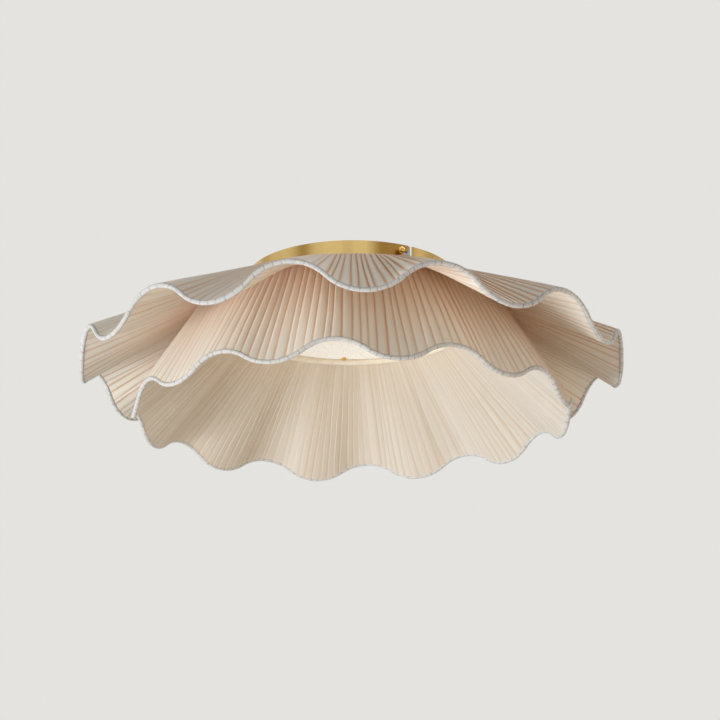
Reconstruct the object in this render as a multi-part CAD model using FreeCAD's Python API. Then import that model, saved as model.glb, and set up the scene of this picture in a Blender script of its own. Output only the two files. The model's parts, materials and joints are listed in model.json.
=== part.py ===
"""Flush ceiling light with a two-tier scalloped fabric shade.

Frame: the origin is the centre of the fitting on the ceiling face, +Z points up into
the ceiling, and everything hangs at z <= 0.  Angles round the Z axis are counted from
-Y (the front) towards +X.  All lengths are millimetres, all angles are degrees.
"""
import FreeCAD
import Part
import math
import os

from FreeCAD import Vector

# ---------------------------------------------------------------- ceiling bracket
strap_width = 30.0
strap_thickness = 2.0
strap_bend_radius = 1.5
tab_depth = 18.0
tab_clearance = 1.8              # canopy wall to the flat outer face of a tab
fixing_pitch_diameter = 70.0     # the two holes for the ceiling screws
fixing_hole_radius = 2.6
cable_hole_radius = 6.0

# ---------------------------------------------------------------- canopy
canopy_radius = 117.5
canopy_wall = 1.2
canopy_height = 24.0
canopy_edge_radius = 3.0
ceiling_gap = 1.0                # dark line between the brass and the ceiling

# ---------------------------------------------------------------- bayonet slots and side screws
screw_angle = 26.5               # the screws stand here and half a turn further
slot_turn = 7.0                  # how far the canopy turns to reach the locked end
slot_width = 4.3
slot_depth = 9.0                 # canopy rim to the screw's axis
thread_radius = 1.95
thread_clearance = 0.05
side_screw_inner_length = 6.0    # thread that stands inside the tab
collar_radius = 3.4
collar_thickness = 1.0
collar_clearance = 0.3
ball_radius = 4.0
ball_neck = 3.4                  # collar face to the ball's centre

# ---------------------------------------------------------------- wiring inside the canopy
grommet_bore_radius = 4.2
grommet_hole_radius = 6.0
grommet_flange_radius = 8.0
grommet_flange_thickness = 1.2
terminal_length = 30.0
terminal_width = 17.0
terminal_height = 14.0
terminal_offset = 45.0           # canopy axis to the middle of the terminal block
terminal_pitch = 9.0
terminal_entry_radius = 1.7
terminal_screw_radius = 1.4
terminal_screw_spread = 4.5
terminal_screw_depth = 4.0
terminal_screw_sunk = 1.0        # well left above a screw's head
driver_slot_width = 0.6
driver_slot_depth = 1.0
lead_radius = 1.1
lead_spacing = 4.6               # the two leads side by side through the grommet
lead_entry_depth = 5.0           # how far a lead reaches into the terminal block
earth_screw_x = -30.0
earth_screw_y = 34.0
earth_screw_head_radius = 3.6
earth_screw_head_height = 2.4
earth_slot_width = 1.0
earth_slot_depth = 1.2
earth_screw_end = 1.5            # shank that stands below the canopy's face
earth_tag_radius = 4.6
earth_tag_thickness = 0.8

# ---------------------------------------------------------------- lampholders and lamps
lamp_count = 4
first_lamp_angle = 45.0
block_width = 36.0
block_wall = 1.2
block_depth = 27.0
block_screw_offset = 12.0
block_screw_radius = 1.5
block_screw_head_radius = 2.8
block_screw_head_height = 1.8
block_screw_length = 3.0         # beyond the two sheets that it clamps
block_nut_height = 2.0
lamp_drop = 16.0                 # canopy face to the lamps' axes
holder_radius = 11.0
holder_length = 20.0
holder_lead_hole_radius = 3.0
holder_lead_clearance = 0.4
holder_lead_reach = 4.0          # how far a lead goes into its lampholder
holder_bore_length = 6.5         # bore in a lampholder's back that its lead goes into
pin_spacing = 9.0
pin_width = 2.6
pin_thickness = 0.8
pin_length = 6.0
pin_socket_spare = 1.0           # socket left beyond a pin's end
pin_clearance = 0.3
lamp_seat_gap = 0.3
lamp_base_radius = 7.0
lamp_base_length = 12.0
lamp_radius = 8.0
lamp_glass_wall = 0.8
lamp_glass_length = 34.0
splice_size = 12.0
splice_height = 10.0

# ---------------------------------------------------------------- shade carrier
arm_count = 3
first_arm_angle = 64.5
carrier_edge_margin = 7.5        # canopy side to the carrier plate's outer edge
carrier_width = 22.0
carrier_thickness = 2.0
carrier_screw_radius = 2.0
carrier_screw_clearance = 0.15
carrier_screw_head_radius = 4.0
carrier_screw_head_height = 2.4
carrier_nut_radius = 4.0
carrier_nut_height = 3.2
carrier_screw_end = 0.8          # thread that stands above the nut
arm_width = 14.0
arm_thickness = 2.0
arm_overlap = 18.0               # length of an arm that lies under the carrier plate

# ---------------------------------------------------------------- wire frame of the shade
wave_count = 12
top_ring_radius = 173.0
top_ring_z = -42.5
top_wire_radius = 3.0
outer_rim_radius = 300.0
outer_rim_z = -108.0
outer_wave_height = 16.4         # from the middle of the wave to a crest
outer_wave_phase = -12.3         # angle of a crest
inner_rim_radius = 242.0
inner_rim_z = -165.0
inner_wave_height = 10.0
inner_wave_phase = -4.1
rim_wire_radius = 1.75
strut_radius = 1.25

# ---------------------------------------------------------------- fabric and binding tape
tape_thickness = 0.75
tape_clearance = 0.1             # wire to the tape that is wound on it
tape_parting = 4.0               # size of a parting in the tape beyond the arm or hanger in it
fabric_thickness = 0.8
fabric_gap = 0.3                 # fabric to the tape or strut beside it
inner_cover_set_in = 2.2         # the deep tier's cover hangs this far inside the top ring's middle

# ---------------------------------------------------------------- diffuser
diffuser_ring_radius = 129.5
diffuser_ring_z = -60.5
diffuser_wire_radius = 2.5
diffuser_overhang = 1.5          # diffuser's edge beyond its ring's axis
diffuser_thickness = 2.5
diffuser_screw_inset = 6.5       # ring's axis to the screws' circle
diffuser_screw_radius = 1.45
diffuser_screw_head_radius = 2.8
diffuser_screw_head_height = 2.2
diffuser_screw_end = 2.0         # thread that stands above the hanger's foot
diffuser_hole_clearance = 0.25
hanger_width = 10.0
hanger_thickness = 1.5
hanger_foot_length = 16.0
hanger_below_ring = 1.0

# ---------------------------------------------------------------- places that follow from these
overshoot = 1.0                  # how far a cutting tool passes the face that it starts from
UP = Vector(0, 0, 1)
ORIGIN = Vector(0, 0, 0)
half_wave = 180.0 / wave_count
canopy_top_z = -ceiling_gap
canopy_face_z = canopy_top_z - canopy_height
canopy_inside_z = canopy_face_z + canopy_wall
canopy_inner_radius = canopy_radius - canopy_wall
screw_z = canopy_top_z - slot_depth
tab_outer_face = canopy_inner_radius - tab_clearance
lamp_z = canopy_face_z - lamp_drop
carrier_under_z = canopy_face_z - carrier_thickness
carrier_outer_radius = canopy_radius - carrier_edge_margin
carrier_inner_radius = carrier_outer_radius - carrier_width
carrier_screw_circle = carrier_outer_radius - carrier_width / 2
rim_tape_radius = rim_wire_radius + tape_clearance + tape_thickness
top_tape_radius = top_wire_radius + tape_clearance + tape_thickness
diffuser_tape_radius = diffuser_wire_radius + tape_clearance + tape_thickness
diffuser_radius = diffuser_ring_radius + diffuser_overhang
diffuser_screw_circle = diffuser_ring_radius - diffuser_screw_inset
diffuser_under_z = diffuser_ring_z + diffuser_tape_radius
diffuser_top_z = diffuser_under_z + diffuser_thickness
hanger_inner_radius = diffuser_ring_radius + diffuser_wire_radius
hanger_outer_radius = hanger_inner_radius + hanger_thickness
arm_end_radius = math.sqrt((top_ring_radius - top_wire_radius) ** 2 - (arm_width / 2) ** 2)
arm_end_z = top_ring_z + arm_thickness / 2
arm_bend_radius = carrier_outer_radius
arm_angles = [first_arm_angle + 360.0 / arm_count * i for i in range(arm_count)]
lamp_angles = [first_lamp_angle + 360.0 / lamp_count * i for i in range(lamp_count)]


# ---------------------------------------------------------------- small helpers
def front(radius, z, x=0.0):
    """Point at a radius on the front side (-Y)."""
    return Vector(x, -radius, z)


def turned(shape, angle):
    """Copy of a shape turned about the Z axis."""
    copy = shape.copy()
    copy.rotate(ORIGIN, UP, angle)
    return copy


def around(shape, angles):
    """Separate copies of a shape at each angle round the Z axis."""
    return Part.makeCompound([turned(shape, angle) for angle in angles])


def upright_face(outline):
    """Face in the vertical front plane from (radius, z) corners."""
    corners = [front(radius, z) for radius, z in outline]
    return Part.Face(Part.makePolygon(corners + corners[:1]))


def revolved(outline):
    """Solid of revolution about the Z axis from (radius, z) corners."""
    return upright_face(outline).revolve(ORIGIN, UP, 360)


def radial_strip(outline, width):
    """Flat bar that runs outwards at the front: (radius, z) corners, centred on x = 0."""
    face = upright_face(outline)
    face.translate(Vector(-width / 2, 0, 0))
    return face.extrude(Vector(width, 0, 0))


def rod(start, end, radius):
    """Straight round wire between two points."""
    return Part.makeCylinder(radius, start.distanceToPoint(end), start, end - start)


def hoop(radius, z, wire_radius):
    """Round ring of wire."""
    return Part.makeTorus(radius, wire_radius, Vector(0, 0, z), UP)


def outward(shape, angle, z):
    """Turn a shape made along +Z so that it points outwards at an angle and a height."""
    copy = shape.copy()
    copy.rotate(ORIGIN, Vector(1, 0, 0), 90)
    copy.translate(Vector(0, 0, z))
    copy.rotate(ORIGIN, UP, angle)
    return copy


def prism(radius, height, z, sides=6):
    """Upright prism with a regular outline, such as a hexagon nut."""
    step = 2 * math.pi / sides
    corners = [Vector(radius * math.cos(step * i), radius * math.sin(step * i), z) for i in range(sides)]
    return Part.Face(Part.makePolygon(corners + corners[:1])).extrude(Vector(0, 0, height))


def bent_tube(points, radius):
    """Tube along straight runs joined by arcs as large as the two runs at each point allow."""
    edges = []
    radii = []
    start = points[0]
    for before, corner, after in zip(points, points[1:], points[2:]):
        back = (before - corner).normalize()
        ahead = (after - corner).normalize()
        reach = 0.45 * min(before.distanceToPoint(corner), after.distanceToPoint(corner))
        turn = math.pi - back.getAngle(ahead)
        bend = reach / math.tan(turn / 2)
        radii.append(round(bend, 1))
        enter = corner + back * reach
        leave = corner + ahead * reach
        middle_line = (back + ahead).normalize()
        middle = corner + middle_line * (math.hypot(bend, reach) - bend)
        edges.append(Part.LineSegment(start, enter).toShape())
        edges.append(Part.Arc(enter, middle, leave).toShape())
        start = leave
    edges.append(Part.LineSegment(start, points[-1]).toShape())
    path = Part.Wire(edges)
    section = Part.Wire(Part.makeCircle(radius, points[0], points[1] - points[0]))
    tube = path.makePipeShell([section], True, False)
    print("lead bend radii", radii, "volume ratio",
          round(tube.Volume / (math.pi * radius ** 2 * path.Length), 4))
    return tube


# ---------------------------------------------------------------- scalloped loops
def crossing_radius(radius, wave_height):
    """Radius of a loop between crest and trough at which its arcs meet without a kink."""
    half = math.radians(half_wave / 2)
    crossing = radius
    for _ in range(20):
        half_chord = crossing * math.sin(half)
        rise = math.hypot(radius - crossing * math.cos(half), wave_height)
        slack = (1 - (rise / half_chord) ** 2) / 2
        crossing = radius / (math.cos(half) + math.sin(half) * math.tan(half) * slack)
    return crossing


def scalloped_loop(radius, z, wave_height, phase):
    """Closed wire of one arc per crest and one per trough; a height of 0 gives a circle."""
    crossing = crossing_radius(radius, wave_height)
    arcs = []
    for i in range(2 * wave_count):
        middle_angle = phase + i * half_wave
        lift = wave_height if i % 2 == 0 else -wave_height
        start = turned_point(crossing, z, middle_angle - half_wave / 2)
        middle = turned_point(radius, z + lift, middle_angle)
        end = turned_point(crossing, z, middle_angle + half_wave / 2)
        arcs.append(Part.Arc(start, middle, end).toShape())
    return Part.Wire(arcs)


def turned_point(radius, z, angle):
    """Point at a radius, height and angle round the Z axis."""
    bearing = math.radians(angle)
    return Vector(radius * math.sin(bearing), -radius * math.cos(bearing), z)


def scalloped_wire(radius, z, wave_height, phase, wire_radius):
    """Round wire bent to a scalloped loop."""
    path = scalloped_loop(radius, z, wave_height, phase)
    first = path.OrderedEdges[0]
    start = first.valueAt(first.FirstParameter)
    heading = first.tangentAt(first.FirstParameter)
    section = Part.Wire(Part.makeCircle(wire_radius, start, heading))
    return path.makePipeShell([section], True, False)


def fabric_skin(top, rim, wave_height, phase):
    """Conical skin between a round top edge and a scalloped rim edge, as (radius, z) mid points."""
    slope = math.atan2(rim[1] - top[1], rim[0] - top[0])
    side_r = -math.sin(slope) * fabric_thickness / 2
    side_z = math.cos(slope) * fabric_thickness / 2
    loops = [
        scalloped_loop(top[0] + side_r, top[1] + side_z, 0.0, phase),
        scalloped_loop(rim[0] + side_r, rim[1] + side_z, wave_height, phase),
        scalloped_loop(rim[0] - side_r, rim[1] - side_z, wave_height, phase),
        scalloped_loop(top[0] - side_r, top[1] - side_z, 0.0, phase),
    ]
    faces = []
    for loop, following in zip(loops, loops[1:] + loops[:1]):
        for edge, facing in zip(loop.Edges, following.Edges):
            faces.append(Part.makeRuledSurface(edge, facing))
    shell = Part.makeShell(faces)
    shell.sewShape()
    skin = Part.makeSolid(shell)
    if skin.Volume < 0:
        skin.reverse()
    return skin


def loop_steepness(radius, wave_height):
    """Steepest climb of a scalloped loop, where its arcs meet, in radians."""
    half = math.radians(half_wave / 2)
    crossing = crossing_radius(radius, wave_height)
    rise = math.hypot(radius - crossing * math.cos(half), wave_height)
    return 2 * math.atan(rise / (crossing * math.sin(half))) if wave_height else 0.0


def edge_beside(centre, other, reach, offset, steepness=0.0):
    """(radius, z) at `offset` to the left of the way from `centre` to `other`, clear of the tape.

    `reach` is the least distance to the taped wire's axis. The tape's upright section is
    taller where a scalloped rim climbs, so heights count less there by the climb's cosine.
    """
    heading = math.atan2(other[1] - centre[1], other[0] - centre[0])
    along_r = math.cos(heading)
    along_z = math.sin(heading)
    weight = math.cos(steepness) ** 2
    square = along_r ** 2 + weight * along_z ** 2
    cross = offset * along_r * along_z * (weight - 1)
    rest = offset ** 2 * (along_z ** 2 + weight * along_r ** 2) - reach ** 2
    along = (-cross + math.sqrt(max(cross ** 2 - square * rest, 0.0))) / square
    return (centre[0] + along * along_r - offset * along_z, centre[1] + along * along_z + offset * along_r)


# ---------------------------------------------------------------- ceiling bracket and side screws
def make_ceiling_bracket():
    inner_face = tab_outer_face - strap_thickness
    outline = [(-tab_outer_face, 0), (tab_outer_face, 0), (tab_outer_face, -tab_depth),
               (inner_face, -tab_depth), (inner_face, -strap_thickness),
               (-inner_face, -strap_thickness), (-inner_face, -tab_depth), (-tab_outer_face, -tab_depth)]
    bracket = radial_strip(outline, strap_width)
    bends = [edge for edge in bracket.Edges
             if abs(edge.Length - strap_width) < 1e-6 and edge.CenterOfMass.z > -strap_thickness - 1e-6]
    outer_bends = [edge for edge in bends if edge.CenterOfMass.z > -1e-6]
    bracket = bracket.makeFillet(strap_bend_radius, outer_bends)
    depth = strap_thickness + 2 * overshoot
    holes = [Part.makeCylinder(cable_hole_radius, depth, front(0, overshoot), -UP)]
    for side in (-1, 1):
        holes.append(Part.makeCylinder(fixing_hole_radius, depth,
                                       front(side * fixing_pitch_diameter / 2, overshoot), -UP))
    thread = Part.makeCylinder(thread_radius + thread_clearance, 2 * (tab_outer_face + overshoot),
                               front(-tab_outer_face - overshoot, screw_z), Vector(0, -1, 0))
    holes.append(thread)
    for hole in holes:
        bracket = bracket.cut(hole)
    return turned(bracket, screw_angle)


def make_side_screw(angle):
    """Thumb screw with a ball head, through the canopy's slot into the bracket's tab."""
    collar_start = canopy_radius + collar_clearance
    thread_start = tab_outer_face - strap_thickness - side_screw_inner_length
    thread = Part.makeCylinder(thread_radius, collar_start - thread_start, Vector(0, 0, thread_start))
    collar = Part.makeCylinder(collar_radius, collar_thickness, Vector(0, 0, collar_start))
    ball_centre = collar_start + collar_thickness + ball_neck
    ball = Part.makeSphere(ball_radius, Vector(0, 0, ball_centre))
    screw = thread.fuse([collar, ball]).removeSplitter()
    return outward(screw, angle, screw_z)


# ---------------------------------------------------------------- canopy
def bayonet_slot():
    """J-shaped cut: down from the canopy's rim, then sideways to the locked end."""
    depth = 4 * canopy_wall
    inner = canopy_inner_radius - canopy_wall
    upright = Part.makeBox(slot_width, depth, slot_depth + overshoot,
                           Vector(-slot_width / 2, -inner - depth, screw_z))
    bore = Part.makeCylinder(slot_width / 2, depth, front(inner, screw_z), Vector(0, -1, 0))
    outline = [(inner, screw_z - slot_width / 2), (inner + depth, screw_z - slot_width / 2),
               (inner + depth, screw_z + slot_width / 2), (inner, screw_z + slot_width / 2)]
    sideways = upright_face(outline).revolve(ORIGIN, UP, slot_turn)
    entry = turned(upright.fuse(bore), screw_angle + slot_turn)
    return [entry, turned(sideways, screw_angle), turned(bore, screw_angle)]


def make_canopy():
    outer = Part.makeCylinder(canopy_radius, canopy_height, Vector(0, 0, canopy_face_z))
    lower_edge = [edge for edge in outer.Edges
                  if edge.Closed and abs(edge.CenterOfMass.z - canopy_face_z) < 1e-6]
    outer = outer.makeFillet(canopy_edge_radius, lower_edge)
    inner = Part.makeCylinder(canopy_inner_radius, canopy_height, Vector(0, 0, canopy_inside_z))
    inner_edge = [edge for edge in inner.Edges
                  if edge.Closed and abs(edge.CenterOfMass.z - canopy_inside_z) < 1e-6]
    inner = inner.makeFillet(canopy_edge_radius - canopy_wall, inner_edge)
    canopy = outer.cut(inner)
    for half_turn in (0, 180):
        for cutter in bayonet_slot():
            canopy = canopy.cut(turned(cutter, half_turn))
    below = canopy_face_z - overshoot
    depth = canopy_wall + 2 * overshoot
    holes = [Part.makeCylinder(grommet_hole_radius, depth, Vector(0, 0, below))]
    carrier_hole = Part.makeCylinder(carrier_screw_radius + carrier_screw_clearance, depth,
                                     front(carrier_screw_circle, below))
    holes += [turned(carrier_hole, angle) for angle in carrier_screw_angles()]
    for side in (-1, 1):
        holes.append(turned(Part.makeCylinder(block_screw_radius + carrier_screw_clearance, depth,
                                              Vector(side * block_screw_offset, 0, below)), first_lamp_angle))
    holes.append(Part.makeCylinder(carrier_screw_radius, depth,
                                   Vector(earth_screw_x, earth_screw_y, below)))
    for hole in holes:
        canopy = canopy.cut(hole)
    return canopy


# ---------------------------------------------------------------- wiring inside the canopy
def make_grommet():
    """Rubber grommet that grips the canopy and the lampholder block's top plate."""
    plate_bottom = canopy_face_z - block_wall
    outline = [(grommet_bore_radius, canopy_inside_z + grommet_flange_thickness),
               (grommet_flange_radius, canopy_inside_z + grommet_flange_thickness),
               (grommet_flange_radius, canopy_inside_z),
               (grommet_hole_radius, canopy_inside_z),
               (grommet_hole_radius, plate_bottom),
               (grommet_flange_radius, plate_bottom),
               (grommet_flange_radius, plate_bottom - grommet_flange_thickness),
               (grommet_bore_radius, plate_bottom - grommet_flange_thickness)]
    return revolved(outline)


def terminal_poles():
    """Y places of the terminal block's three poles."""
    return [-terminal_pitch, 0.0, terminal_pitch]


def make_terminal_block():
    block = Part.makeBox(terminal_width, terminal_length, terminal_height,
                         Vector(-terminal_offset - terminal_width / 2, -terminal_length / 2, canopy_inside_z))
    top = canopy_inside_z + terminal_height
    for pole in terminal_poles():
        entry = Part.makeCylinder(terminal_entry_radius, terminal_width + 2 * overshoot,
                                  Vector(-terminal_offset - terminal_width / 2 - overshoot, pole,
                                         canopy_inside_z + terminal_height / 2), Vector(1, 0, 0))
        block = block.cut(entry)
        for side in (-1, 1):
            well = Part.makeCylinder(terminal_screw_radius + thread_clearance, terminal_screw_depth,
                                     Vector(-terminal_offset + side * terminal_screw_spread, pole, top), -UP)
            block = block.cut(well)
    return block


def make_terminal_screws():
    top = canopy_inside_z + terminal_height
    length = terminal_screw_depth - terminal_screw_sunk
    screws = []
    for pole in terminal_poles():
        for side in (-1, 1):
            place = Vector(-terminal_offset + side * terminal_screw_spread, pole, top - terminal_screw_depth)
            screw = Part.makeCylinder(terminal_screw_radius, length, place)
            driver_slot = Part.makeBox(2 * terminal_screw_radius, driver_slot_width, driver_slot_depth,
                                       place + Vector(-terminal_screw_radius, -driver_slot_width / 2,
                                                      length - driver_slot_depth))
            screws.append(screw.cut(driver_slot))
    return Part.makeCompound(screws)


def make_supply_leads():
    """Two leads from the terminal block, down through the grommet to the splice."""
    start_x = -terminal_offset + terminal_width / 2 - lead_entry_depth
    z = canopy_inside_z + terminal_height / 2
    splice_top = lamp_z + splice_height / 2
    middle_x = -terminal_offset / 2
    leads = []
    for far_y, near_y in zip(terminal_poles(), (-lead_spacing / 2, lead_spacing / 2)):
        points = [Vector(start_x, far_y, z), Vector(middle_x - 4, far_y, z),
                  Vector(middle_x + 8, near_y + (far_y - near_y) / 4, z), Vector(0, near_y, z - 2),
                  Vector(0, near_y, splice_top)]
        leads.append(bent_tube(points, lead_radius))
    return Part.makeCompound(leads)


def make_earth_screw():
    """Screw through the canopy's face, with a ring tag for the earth lead."""
    tag = Part.makeCylinder(earth_tag_radius, earth_tag_thickness,
                            Vector(earth_screw_x, earth_screw_y, canopy_inside_z))
    head_z = canopy_inside_z + earth_tag_thickness
    head = Part.makeCylinder(earth_screw_head_radius, earth_screw_head_height,
                             Vector(earth_screw_x, earth_screw_y, head_z))
    slot_corner = Vector(earth_screw_x - earth_screw_head_radius, earth_screw_y - earth_slot_width / 2,
                         head_z + earth_screw_head_height - earth_slot_depth)
    slot = Part.makeBox(2 * earth_screw_head_radius, earth_slot_width, earth_slot_depth, slot_corner)
    head = head.cut(slot)
    shank = Part.makeCylinder(thread_radius, canopy_wall + earth_screw_end,
                              Vector(earth_screw_x, earth_screw_y, canopy_inside_z), -UP)
    return tag.fuse([head, shank]).removeSplitter()


def make_earth_lead():
    """Lead from the last pole to the earth screw's tag."""
    start_x = -terminal_offset + terminal_width / 2 - lead_entry_depth
    pole = terminal_poles()[-1]
    z = canopy_inside_z + terminal_height / 2
    low_z = canopy_inside_z + lead_radius + 0.2
    end_y = earth_screw_y - earth_tag_radius
    points = [Vector(start_x, pole, z), Vector(earth_screw_x + 1, pole, z),
              Vector(earth_screw_x + 4, (pole + end_y) / 2, (z + low_z) / 2),
              Vector(earth_screw_x, end_y - 4, low_z), Vector(earth_screw_x, end_y - 0.2, low_z)]
    return bent_tube(points, lead_radius)


# ---------------------------------------------------------------- lampholders and lamps
def make_lamp_block():
    """Folded steel box under the canopy that the four lampholders stand out of."""
    half = block_width / 2
    bottom = canopy_face_z - block_depth
    block = Part.makeBox(block_width, block_width, block_depth, Vector(-half, -half, bottom))
    inside = block_width - 2 * block_wall
    block = block.cut(Part.makeBox(inside, inside, block_depth - block_wall,
                                   Vector(-inside / 2, -inside / 2, bottom)))
    top = canopy_face_z + overshoot
    depth = block_wall + 2 * overshoot
    cutters = [Part.makeCylinder(grommet_hole_radius, depth, Vector(0, 0, top), -UP)]
    for side in (-1, 1):
        cutters.append(Part.makeCylinder(block_screw_radius + carrier_screw_clearance, depth,
                                         Vector(side * block_screw_offset, 0, top), -UP))
    lead_hole = Part.makeCylinder(holder_lead_hole_radius, block_width)
    cutters += [outward(lead_hole, 90.0 * i, lamp_z) for i in range(4)]
    for cutter in cutters:
        block = block.cut(cutter)
    return turned(block, first_lamp_angle)


def make_block_screws():
    """Two screws with their nuts, clamping the block under the canopy's face."""
    head_top = canopy_face_z - block_wall
    screws = []
    for side in (-1, 1):
        x = side * block_screw_offset
        shank = Part.makeCylinder(block_screw_radius, block_wall + canopy_wall + block_screw_length,
                                  Vector(x, 0, head_top))
        head = Part.makeCylinder(block_screw_head_radius, block_screw_head_height,
                                 Vector(x, 0, head_top), -UP)
        nut = prism(block_screw_head_radius, block_nut_height, canopy_inside_z)
        nut.translate(Vector(x, 0, 0))
        screws.append(shank.fuse([head, nut]).removeSplitter())
    return turned(Part.makeCompound(screws), first_lamp_angle)


def make_lampholders():
    """Ceramic push-in lampholders, each with two flat pin sockets."""
    start = block_width / 2
    body = Part.makeCylinder(holder_radius, holder_length, Vector(0, 0, start))
    lead_way = Part.makeCylinder(lead_radius + holder_lead_clearance, holder_bore_length, Vector(0, 0, start))
    body = body.cut(lead_way)
    front_face = start + holder_length
    depth = pin_length + pin_socket_spare
    for side in (-1, 1):
        socket = Part.makeBox(pin_width + 2 * pin_clearance, pin_thickness + 2 * pin_clearance, depth,
                              Vector(side * pin_spacing / 2 - pin_width / 2 - pin_clearance,
                                     -pin_thickness / 2 - pin_clearance, front_face - depth))
        body = body.cut(socket)
    return Part.makeCompound([outward(body, angle, lamp_z) for angle in lamp_angles])


def make_splice():
    """Insulated splice inside the block, where the supply leads meet the lampholder leads."""
    splice = Part.makeBox(splice_size, splice_size, splice_height,
                          Vector(-splice_size / 2, -splice_size / 2, lamp_z - splice_height / 2))
    return turned(splice, first_lamp_angle)


def make_lampholder_leads():
    """Short leads from the splice to the back of each lampholder."""
    start = splice_size / 2
    lead = Part.makeCylinder(lead_radius, block_width / 2 + holder_lead_reach - start, Vector(0, 0, start))
    return Part.makeCompound([outward(lead, angle, lamp_z) for angle in lamp_angles])


def lamp_seat():
    """Radius at which a lamp's base starts."""
    return block_width / 2 + holder_length + lamp_seat_gap


def make_lamp_pins(angle):
    pins = []
    for side in (-1, 1):
        pins.append(Part.makeBox(pin_width, pin_thickness, pin_length,
                                 Vector(side * pin_spacing / 2 - pin_width / 2, -pin_thickness / 2,
                                        lamp_seat() - pin_length)))
    return outward(Part.makeCompound(pins), angle, lamp_z)


def make_lamp_base(angle):
    base = Part.makeCylinder(lamp_base_radius, lamp_base_length, Vector(0, 0, lamp_seat()))
    return outward(base, angle, lamp_z)


def make_lamp_envelope(angle):
    """Opal envelope: a thin tube with a domed end, standing on the base."""
    start = lamp_seat() + lamp_base_length
    straight = lamp_glass_length - lamp_radius
    inner_radius = lamp_radius - lamp_glass_wall
    outer = Part.makeCylinder(lamp_radius, straight, Vector(0, 0, start))
    outer = outer.fuse(Part.makeSphere(lamp_radius, Vector(0, 0, start + straight)))
    inner = Part.makeCylinder(inner_radius, straight - lamp_glass_wall, Vector(0, 0, start + lamp_glass_wall))
    inner = inner.fuse(Part.makeSphere(inner_radius, Vector(0, 0, start + straight)))
    return outward(outer.cut(inner).removeSplitter(), angle, lamp_z)


# ---------------------------------------------------------------- shade carrier
def carrier_screw_angles():
    """The carrier's screws stand midway between its arms."""
    return [angle + 180.0 / arm_count for angle in arm_angles]


def arm_under_z(radius):
    """Height of an arm's underside beyond its bend."""
    share = (radius - arm_bend_radius) / (arm_end_radius - arm_bend_radius)
    return carrier_under_z - arm_thickness + share * (arm_end_z - carrier_under_z)


def make_carrier_plate():
    plate = revolved([(carrier_inner_radius, canopy_face_z), (carrier_outer_radius, canopy_face_z),
                      (carrier_outer_radius, carrier_under_z), (carrier_inner_radius, carrier_under_z)])
    hole = Part.makeCylinder(carrier_screw_radius + carrier_screw_clearance,
                             carrier_thickness + 2 * overshoot,
                             front(carrier_screw_circle, carrier_under_z - overshoot))
    for angle in carrier_screw_angles():
        plate = plate.cut(turned(hole, angle))
    return plate


def make_carrier_screws():
    length = carrier_thickness + canopy_wall + carrier_nut_height + carrier_screw_end
    shank = Part.makeCylinder(carrier_screw_radius, length, front(carrier_screw_circle, carrier_under_z))
    head = Part.makeCylinder(carrier_screw_head_radius, carrier_screw_head_height,
                             front(carrier_screw_circle, carrier_under_z), -UP)
    return around(shank.fuse(head).removeSplitter(), carrier_screw_angles())


def make_carrier_nuts():
    nut = prism(carrier_nut_radius, carrier_nut_height, canopy_inside_z)
    bore = Part.makeCylinder(carrier_screw_radius + thread_clearance, carrier_nut_height + 2 * overshoot,
                             Vector(0, 0, canopy_inside_z - overshoot))
    nut = nut.cut(bore)
    nut.translate(front(carrier_screw_circle, 0))
    return around(nut, carrier_screw_angles())


def arm_outline(grow=0.0):
    """(radius, z) corners of a carrier arm, thickened by `grow` on its faces."""
    start = carrier_outer_radius - arm_overlap
    return [(start, carrier_under_z + grow), (arm_bend_radius, carrier_under_z + grow),
            (arm_end_radius, arm_end_z + grow), (arm_end_radius, arm_end_z - arm_thickness - grow),
            (arm_bend_radius, carrier_under_z - arm_thickness - grow),
            (start, carrier_under_z - arm_thickness - grow)]


def make_carrier_arms():
    return around(radial_strip(arm_outline(), arm_width), arm_angles)


def hanger_outline():
    """(radius, z) corners of a diffuser hanger: a leg under the arm and an inward foot."""
    bottom = diffuser_ring_z - hanger_below_ring
    foot_inner = hanger_outer_radius - hanger_foot_length
    foot_top = diffuser_top_z + hanger_thickness
    return [(hanger_outer_radius, arm_under_z(hanger_outer_radius)), (hanger_outer_radius, bottom),
            (hanger_inner_radius, bottom), (hanger_inner_radius, diffuser_top_z),
            (foot_inner, diffuser_top_z), (foot_inner, foot_top), (hanger_inner_radius, foot_top),
            (hanger_inner_radius, arm_under_z(hanger_inner_radius))]


def make_diffuser_hangers():
    hanger = radial_strip(hanger_outline(), hanger_width)
    thread = Part.makeCylinder(diffuser_screw_radius + thread_clearance, hanger_thickness + 2 * overshoot,
                               front(diffuser_screw_circle, diffuser_top_z - overshoot))
    return around(hanger.cut(thread), arm_angles)


# ---------------------------------------------------------------- wire frame of the shade
top_ring = (top_ring_radius, top_ring_z)
outer_rim = (outer_rim_radius, outer_rim_z)
inner_rim = (inner_rim_radius, inner_rim_z)
diffuser_ring = (diffuser_ring_radius, diffuser_ring_z)
skin_offset = strut_radius + fabric_gap + fabric_thickness / 2


def make_top_ring_tape():
    """Tape wound round the top ring, parted where the arms are welded on."""
    tape = hoop(top_ring_radius, top_ring_z, top_tape_radius)
    tape = tape.cut(hoop(top_ring_radius, top_ring_z, top_wire_radius + tape_clearance))
    inner = arm_end_radius - tape_parting
    above = arm_end_z + tape_parting
    below = arm_end_z - arm_thickness - tape_parting
    outline = [(inner, above), (top_ring_radius, above), (top_ring_radius, below), (inner, below)]
    gap = radial_strip(outline, arm_width + 2 * fabric_gap)
    for angle in arm_angles:
        tape = tape.cut(turned(gap, angle))
    return tape


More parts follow.
